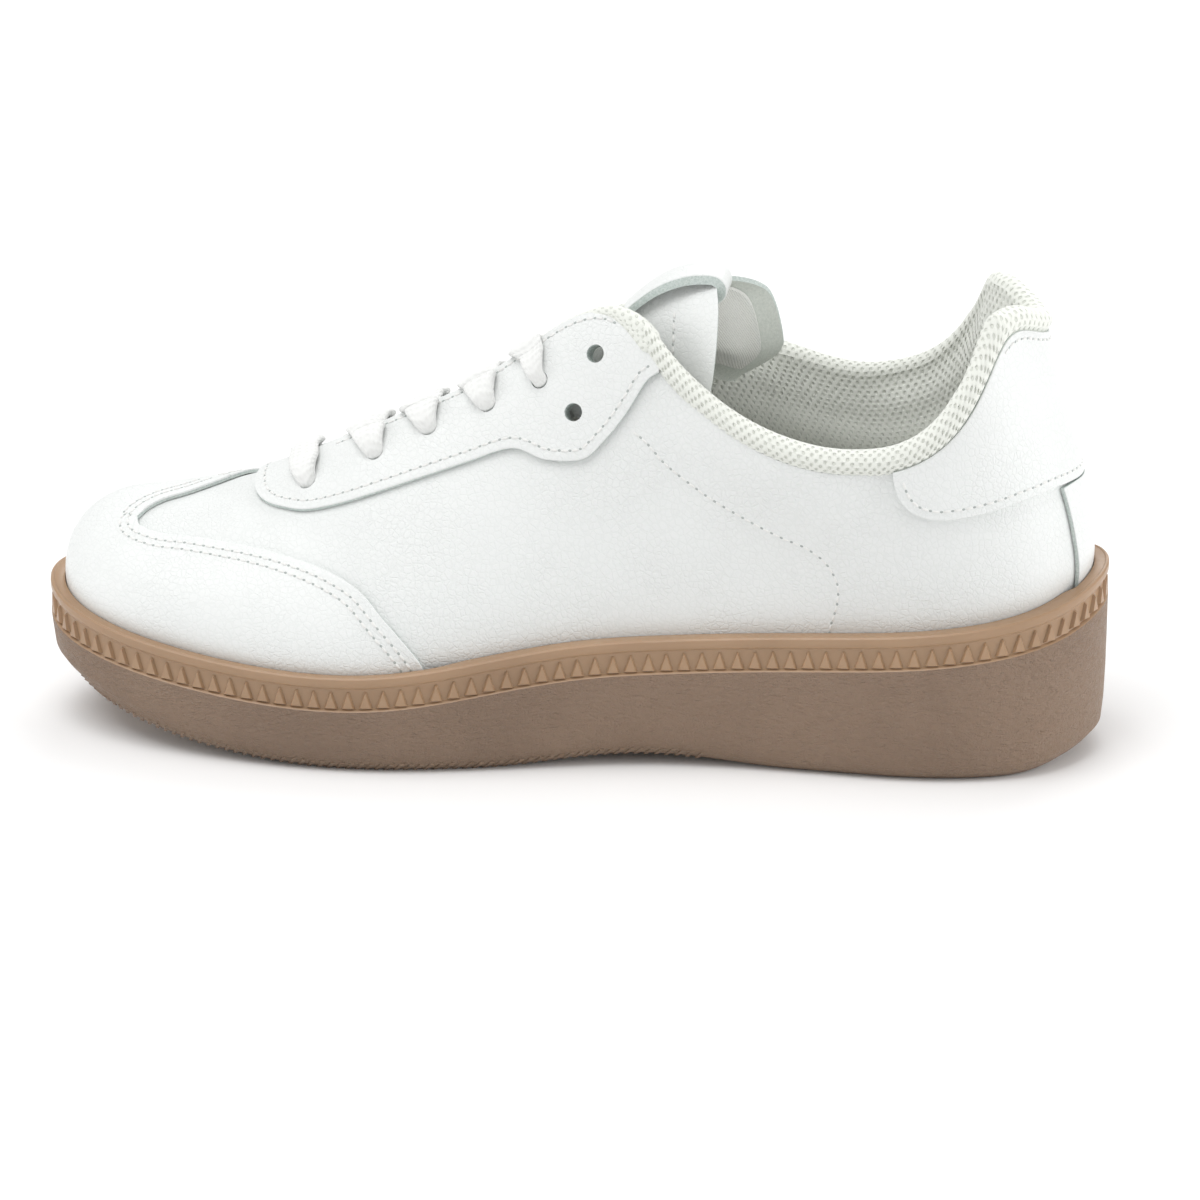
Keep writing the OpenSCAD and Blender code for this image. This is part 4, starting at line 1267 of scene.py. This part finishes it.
def row_way(side, k):
    """Direction of the row of eyelets, heelwards. The lace stays across it, so that it never twists."""
    t = side_rib(side, EYELETS[k][0])
    return unit(at(t + 0.2 * side, 0.95, 0) - at(t - 0.2 * side, 0.95, 0))


def dive(side, k):
    """Over the eyelet's margin and down through it: points, sideways directions and half sizes."""
    s, v = EYELETS[k]
    t = side_rib(side, s)
    slim = LAST_SLIM if k == LACED - 1 else 1.0
    way = row_way(side, k)
    return [(at(t, min(v + dv, 0.985), d), way, w * slim if d < 0 else w, h) for dv, d, w, h in DIVE]


def throat_leg(side, k):
    """Out from under the other side's edge, up through the throat and over the near edge."""
    far = side_rib(-side, mix(EYELETS[k - 1][0], EYELETS[k][0], 0.72))
    near = side_rib(side, EYELETS[k][0] - 0.05)
    way = row_way(side, k)
    return [(at(far, 0.985, 6.0), way, 3.4, 0.8),
            (mix(at(far, 1, 5.2), at(near, 1, 5.2), 0.25), way, 3.8, 0.9),
            (mix(at(far, 1, 0.6), at(near, 1, 0.6), 0.75), way, 4.6, 1.1),
            (at(near, 0.99, -1.5), way, 5.0, 1.2)]


def bar_leg(side):
    """Half of the straight bar across the first row."""
    t = side_rib(side, EYELETS[0][0])
    return [(at(t, 0.985, -1.5), row_way(side, 0), 4.5, 1.2)]


def lace_leg(side, k):
    return (throat_leg(side, k) if k else bar_leg(side)) + dive(side, k)


def lace_tail(side):
    """Down inside the quarter from the last laced eyelet."""
    stops = [(at(side_rib(side, mix(8.4, 8.8, k)), mix(0.76, 0.52, k), mix(6.4, 7.6, k)), k)
             for k in np.linspace(0, 1, 5)]
    return [(p, row_way(side, LACED - 1), mix(2.8, 1.3, k), mix(0.8, 1.1, k)) for p, k in stops]


def zigzag(side):
    """One half of the lace, from its last laced eyelet to the middle of the straight bar."""
    legs = []
    for k in range(LACED - 1, -1, -1):
        legs += lace_leg(side if k % 2 == 0 else -side, k)[::-1]
    return legs


def lace():
    """The whole lace as one flat tape: tail, zigzag, bar, zigzag, tail."""
    route = lace_tail(1)[::-1] + zigzag(1) + zigzag(-1)[::-1] + lace_tail(-1)
    path = np.array([r[0] for r in route])
    steps = travelled(path)
    fine = spline(path, 1400)
    far = travelled(fine)
    where = far / far[-1] * steps[-1]
    side = unit(read(np.array([r[1] for r in route]), steps, where))
    wide = np.interp(where, steps, [r[2] for r in route])
    tall = np.interp(where, steps, [r[3] for r in route])
    up = unit(np.cross(side, unit(np.gradient(fine, axis=0))))
    points, faces, uv = swept(fine, side, up, wide, tall)
    thing = make("lace", points, faces, [LACE_LOOK], uv=uv, weld=0.004, sharp=70)
    settle(thing, "shoe", "lace_cotton", "lace")


def aglets():
    """Crimped film tags on the lace's two ends."""
    ring = np.arange(AGLET_RINGS)
    radius = AGLET_R - 0.18 * (ring % 8 == 4) - 0.35 * (ring > AGLET_RINGS - 2)
    for side, name in SIDES:
        before, end = (stop[0] for stop in lace_tail(side)[-2:])
        direction = unit(end - before)
        line = end + direction * np.linspace(0.2, AGLET_L + 0.2, AGLET_RINGS)[:, None]
        across_it = np.broadcast_to(unit(np.cross(direction, (0, 0, 1))), line.shape)
        lifted = np.cross(across_it, direction)
        points, faces, _ = swept(line, across_it, lifted, radius, radius, power=1)
        tag = make("aglet_" + name, points, faces, [FILM_LOOK], weld=0.004)
        settle(tag, "shoe", "aglet_plastic", "aglet_" + name)


# ---- Sole ----
WALL_ROWS = 420
TEETH = 142
NOTCHES = 250
NOTCH_END = 9.5
TREAD_H = 1.6
TREAD_EDGE = 9.5
TREAD_STEP = 4.6
CHEVRON_W = 2.3
CHEVRON_RUN = 5.2
CHEVRON_LEAN = 1.6
WAIST = (-12, 46)
BAR_W = 1.9
PIVOT = np.array([-52.0, -1.0])
PIVOT_R = 25
RING_W = 2.2
RING_STEP = 4.2


def wall_points(t, out, z):
    """Points at a distance outside the ribs' feet, at a height."""
    r = rib(t)
    p = r[..., :3] + outward(t) * np.asarray(out, float)[..., None]
    p[..., 2] = z
    return p + CENTRE


def sole_profile(t):
    """Section of the cup wall, from the inside of its lip over the outside to its floor.

    Each row gives how far out it lies, its height, and 1 for the grained wall or 0 for smooth.
    """
    x = rib(t)[..., 0]
    lip = rib(t)[..., 2]
    toe = 4 * np.clip((-x - 90) / 40, 0, 1)**2
    heel = 2 * np.clip((x - 105) / 25, 0, 1)**2
    under = ground(x + CENTRE[0])
    belly = (lip - 8.2 + under) / 2
    s = station(t)
    tight = BASE_D * ease(6.4, 6.9, s) * (1 - ease(14.9, 15.4, s))
    out = np.float64(WALL_OUT)
    rows = [
        (0.3 - tight, lip + 0.55, 0), (1.0, lip + 0.85, 0), (2.3, lip + 0.85, 0), (2.9, lip + 0.78, 0),
        (3.2, lip + 1.0, 0), (3.6, lip + 0.98, 0), (3.95, lip + 0.6, 0), (4.0, lip - 0.2, 0),
        (3.95, lip - 1.1, 0), (3.6, lip - 1.7, 0), (3.05, lip - 2.1, 0), (2.95, lip - 3, 0),
        (2.95, lip - 6.9, 0),
        (3.1, lip - 7.4, 0), (3.7, lip - 7.6, 0), (3.98, lip - 7.9, 1), (4.0, lip - 8.6, 1),
        (out - toe * 0.1 + 0.05, mix(lip - 8.6, belly, 0.5), 1), (out - toe * 0.2 + 0.05, belly, 1),
        (out - toe * 0.45 - 0.15, mix(belly, under + 4.5, 0.6), 1),
        (out - 0.6 - toe * 0.8, under + 4.5, 1), (out - 1.3 - toe * 0.9 - heel * 0.5, under + 2.6, 1),
        (out - 2.8 - toe - heel, under + 1.0, 1), (out - 3.9 - toe - heel, under + 0.3, 1),
        (out - 5.5 - toe - heel, under, 1),
        (-4.2 - toe - heel, under, 1), (-4.8 - toe - heel, under + 1.5, 0), (-12, under + 1.5, 0),
        (-12, under + FLOOR_T, 0), (-6, under + FLOOR_T, 0),
        (-0.6 - tight, mix(under + FLOOR_T, lip, 0.15), 0), (-0.1 - tight, mix(under + FLOOR_T, lip, 0.6), 0),
    ]
    outs = np.stack([np.broadcast_to(np.asarray(r[0], float), x.shape) for r in rows], 1)
    heights = np.stack([np.broadcast_to(np.asarray(r[1], float), x.shape) for r in rows], 1)
    return outs, heights, [r[2] for r in rows]


def round_wall(count):
    """Ribs at even distances round the wall."""
    t = np.linspace(0, RIBS, 4000)
    far = travelled(wall_points(t, np.full_like(t, WALL_OUT), 0))
    return np.interp(np.linspace(0, far[-1], count), far, t)


def sole_wall():
    t = round_wall(WALL_ROWS)
    outs, heights, kinds = sole_profile(t)
    points = wall_points(np.broadcast_to(t[:, None], outs.shape), outs, heights)
    points = np.concatenate([points, points[:, :1]], 1)
    n, m = points.shape[:2]
    faces = grid_faces(n, m)[:, ::-1]
    looks = np.tile(kinds, n - 1)
    return points, [list(f) for f in faces], looks


def prism(front, back, look=0):
    """Solid between two polygons of as many corners."""
    n = len(front)
    faces = [list(range(n)), list(range(n, 2 * n))[::-1]]
    faces += [[(i + 1) % n, i, n + i, n + (i + 1) % n] for i in range(n)]
    return np.concatenate([front, back]), faces, look


def teeth():
    """Pointed teeth that stand in the band under the lip."""
    parts = []
    for t in round_wall(TEETH + 1)[:-1]:
        t = np.float64(t)
        foot = rib(t)[:3] + CENTRE
        n = outward(t)
        side = np.array([-n[1], n[0], 0])
        up = np.array([0, 0, 1.0])

        def corners(*places):
            return np.array([foot + side * width + up * height + n * out for width, height, out in places])

        front = corners((-1.25, -6.9, 3.85), (1.25, -6.9, 3.85), (0.12, -3.4, 3.75), (-0.12, -3.4, 3.75))
        back = corners((-2.0, -7.5, 2.7), (2.0, -7.5, 2.7), (0.3, -2.6, 2.7), (-0.3, -2.6, 2.7))
        parts.append(prism(front, back))
    return parts


def notches():
    """Short slanted ribs along the lower edge of the forefoot."""
    parts = []
    for t in round_wall(NOTCHES)[:-1]:
        if station(t) > NOTCH_END:
            continue
        t = np.float64(t)
        outs, heights, _ = sole_profile(t[None])
        a = wall_points(t, np.float64(outs[0, 21]), heights[0, 21])
        b = wall_points(t, np.float64(outs[0, 23]), heights[0, 23])
        n = outward(t)
        side = np.array([-n[1], n[0], 0])
        half = side * 0.5
        lean = side * 0.9
        face = unit(np.cross(side, b - a))
        face = face * np.sign(face @ n)
        corners = np.array([a - half + lean, a + half + lean, b + half - lean, b - half - lean])
        parts.append(prism(corners + face * 0.35, corners - face * 0.8, 1))
    return parts


def floor_plate(inset_by, top, bottom, rows=90, columns=24, first=0.7, last=16.8):
    """Level plate that fills the sole's outline."""
    s = np.linspace(first, last, rows)
    a, b = (rib(t)[:, :3] - outward(t) * inset_by + CENTRE for t in (s, 2 * HEEL - s))
    p = mix(a[:, None], b[:, None], np.linspace(0, 1, columns)[None, :, None])
    upper, lower = p.copy(), p.copy()
    upper[..., 2] = top(p)
    lower[..., 2] = bottom(p)
    return upper, lower


def inside_outline(points, inset_by):
    """Which points lie inside the sole's outline, drawn in by a distance."""
    t = np.linspace(0, RIBS, 400)
    edge = (rib(t)[:, :3] - outward(t) * inset_by + CENTRE)[:, :2]
    a, b = edge[:-1], edge[1:]
    x, y = points[:, 0:1], points[:, 1:2]
    crosses = (a[:, 1] > y) != (b[:, 1] > y)
    rise = np.where(b[:, 1] == a[:, 1], 1e-9, b[:, 1] - a[:, 1])
    meets = a[:, 0] + (y - a[:, 1]) / rise * (b[:, 0] - a[:, 0])
    return (crosses & (x < meets)).sum(1) % 2 == 1


def tread_block(corners, taper=0.93):
    """Block of the tread, from the ground up into the sole."""
    high = np.c_[corners, ground(corners[:, 0]) + TREAD_H]
    middle = corners.mean(0)
    corners = middle + (corners - middle) * taper
    low = np.c_[corners, ground(corners[:, 0])]
    return prism(low[::-1], high[::-1], 1)


def herringbone():
    """Slanted blocks under the toe and the heel."""
    parts = []
    for i in range(-30, 30):
        for j in range(-9, 9):
            x = i * TREAD_STEP
            lean = CHEVRON_LEAN if j % 2 else -CHEVRON_LEAN
            y0, y1 = j * CHEVRON_RUN, (j + 1) * CHEVRON_RUN
            corners = np.array([(x - lean, y0), (x + CHEVRON_W - lean, y0),
                                (x + CHEVRON_W + lean, y1), (x + lean, y1)])
            waist = WAIST[0] - 2 < x < WAIST[1]
            ball = np.linalg.norm(corners - PIVOT, axis=1).min() < PIVOT_R + 1.5
            if not waist and not ball and inside_outline(corners, TREAD_EDGE).all():
                parts.append(tread_block(corners))
    return parts


def waist_bars():
    """Level bars under the waist, in two rows."""
    parts = []
    for x in np.arange(*WAIST, TREAD_STEP):
        for ends in ((-30, -2), (2, 34)):
            y = np.linspace(*ends, 15)
            y = y[inside_outline(np.c_[np.full(15, x), y], TREAD_EDGE)]
            if len(y) > 2:
                a, b = y[0], y[-1]
                parts.append(tread_block(np.array([(x, a), (x + BAR_W, a), (x + BAR_W, b), (x, b)])))
    return parts


def ball_rings():
    """Rings round the pivot under the ball."""
    parts = []
    for inner in np.arange(4.0, PIVOT_R, RING_STEP):
        outer = inner + RING_W
        turns = max(18, int(inner * 2.2))
        for k in range(turns):
            a, b = (2 * math.pi * (k + d) / turns for d in (0, 1))
            corners = [(math.cos(turn) * radius, math.sin(turn) * radius)
                       for turn, radius in ((a, inner), (a, outer), (b, outer), (b, inner))]
            parts.append(tread_block(np.array(corners) + PIVOT, 1))
    return parts


def outsole():
    upper, lower = floor_plate(9, lambda p: ground(p[..., 0]) + FLOOR_T, lambda p: ground(p[..., 0]) + 1.5,
                               90, 24, 1.2, 16.4)
    parts = [sole_wall(), shell(upper, lower, 0, 0)]
    parts += teeth() + notches() + herringbone() + waist_bars() + ball_rings()
    points, faces, looks = join_parts(parts)
    thing = make("outsole", points, faces, [GUM_SMOOTH, GUM_GRAIN], looks, sharp=32)
    settle(thing, "shoe", "gum_rubber", "outsole")


def footbed(p):
    """Height of the sockliner's top: cupped at its edges, raised under the arch."""
    x = p[..., 0]
    across_it = np.linspace(-1, 1, p.shape[1])
    cup = mix(0.8, 3.4, ease(20, 110, x)) * np.abs(across_it)**5
    arch = 2.2 * ease(-20, 20, x) * (1 - ease(30, 75, x)) * ease(0.1, -1, across_it)
    return seat(x) + GAP + SOCK_T + cup + arch


def plate(name, look, slot, grids):
    """Solid between two grids, which stands for the CAD node of the same name."""
    points, faces, looks = shell(*grids, 0, 0)
    thing = make(name, points, faces, [look], looks)
    return settle(thing, "shoe", slot, name)


def plates():
    """The three layers that lie in the cup, under the foot."""
    foam_grids = floor_plate(3, lambda p: seat(p[..., 0]) - BOARD_T - GAP,
                             lambda p: ground(p[..., 0]) + FLOOR_T + GAP)
    plate("midsole_foam", SOLE_FOAM_LOOK, "sole_foam", foam_grids)
    board_grids = floor_plate(8, lambda p: seat(p[..., 0]), lambda p: seat(p[..., 0]) - BOARD_T)
    plate("insole_board", BOARD_LOOK, "board", board_grids)
    sock_grids = floor_plate(7.2, footbed, lambda p: seat(p[..., 0]) + GAP, 160, 60, 0.62, 16.9)
    plate("sockliner", SOCK_LOOK, "sock_cloth", sock_grids)


# ---- Build ----
punches = eyelet_cutter()
base_upper(punches)
mudguard()
eyestay(punches)
heel_patch()
backstay()
stiffeners(punches)
vamp_lining(punches)
bpy.data.objects.remove(punches)
collar_lining()
collar_foam()
collar_binding(1)
collar_binding(-1)
tongue()
tongue_label()
guard_stitches()
eyestay_stitches()
patch_stitches()
quarter_stitches()
tongue_stitches()
lace()
aglets()
outsole()
plates()


# ---- Studio ----
FLOOR_HALF = 6
WORLD_STRENGTH = 0.52
LIGHT_AIM = Vector((0, 0, 0.04))

# Name, place, watts and width of each soft light.
LIGHTS = (
    ("key", (-0.4, -0.35, 1.5), 15, 1.2),
    ("back", (0.2, 1.2, 1.1), 9, 1.2),
    ("heel", (1.35, -0.15, 0.45), 9, 0.9),
    ("toe", (-1.35, -0.45, 0.4), 3.5, 0.9),
)


def add_floor():
    look = Look("studio_floor", 0.9)
    look.colour(look.noise(3, 2), (0.90, 0.90, 0.90), (0.92, 0.92, 0.92))
    mesh = bpy.data.meshes.new("floor")
    corners = [(x * FLOOR_HALF, y * FLOOR_HALF, 0) for x, y in ((-1, -1), (1, -1), (1, 1), (-1, 1))]
    mesh.from_pydata(corners, [], [[0, 1, 2, 3]])
    mesh.materials.append(look.material)
    floor = bpy.data.objects.new("floor", mesh)
    bpy.context.scene.collection.objects.link(floor)


def add_light():
    """White surroundings and the soft lights."""
    world = bpy.data.worlds.new("studio")
    world.use_nodes = True
    background = world.node_tree.nodes["Background"]
    background.inputs["Color"].default_value = (1, 1, 1, 1)
    background.inputs["Strength"].default_value = WORLD_STRENGTH
    bpy.context.scene.world = world
    for name, place, power, size in LIGHTS:
        data = bpy.data.lights.new(name, "AREA")
        data.energy = power
        data.size = size
        light = bpy.data.objects.new(name, data)
        light.location = place
        light.rotation_euler = (Vector(place) - LIGHT_AIM).to_track_quat("Z", "Y").to_euler()
        bpy.context.scene.collection.objects.link(light)


add_floor()
add_light()
bpy.context.scene.view_settings.view_transform = "Standard"
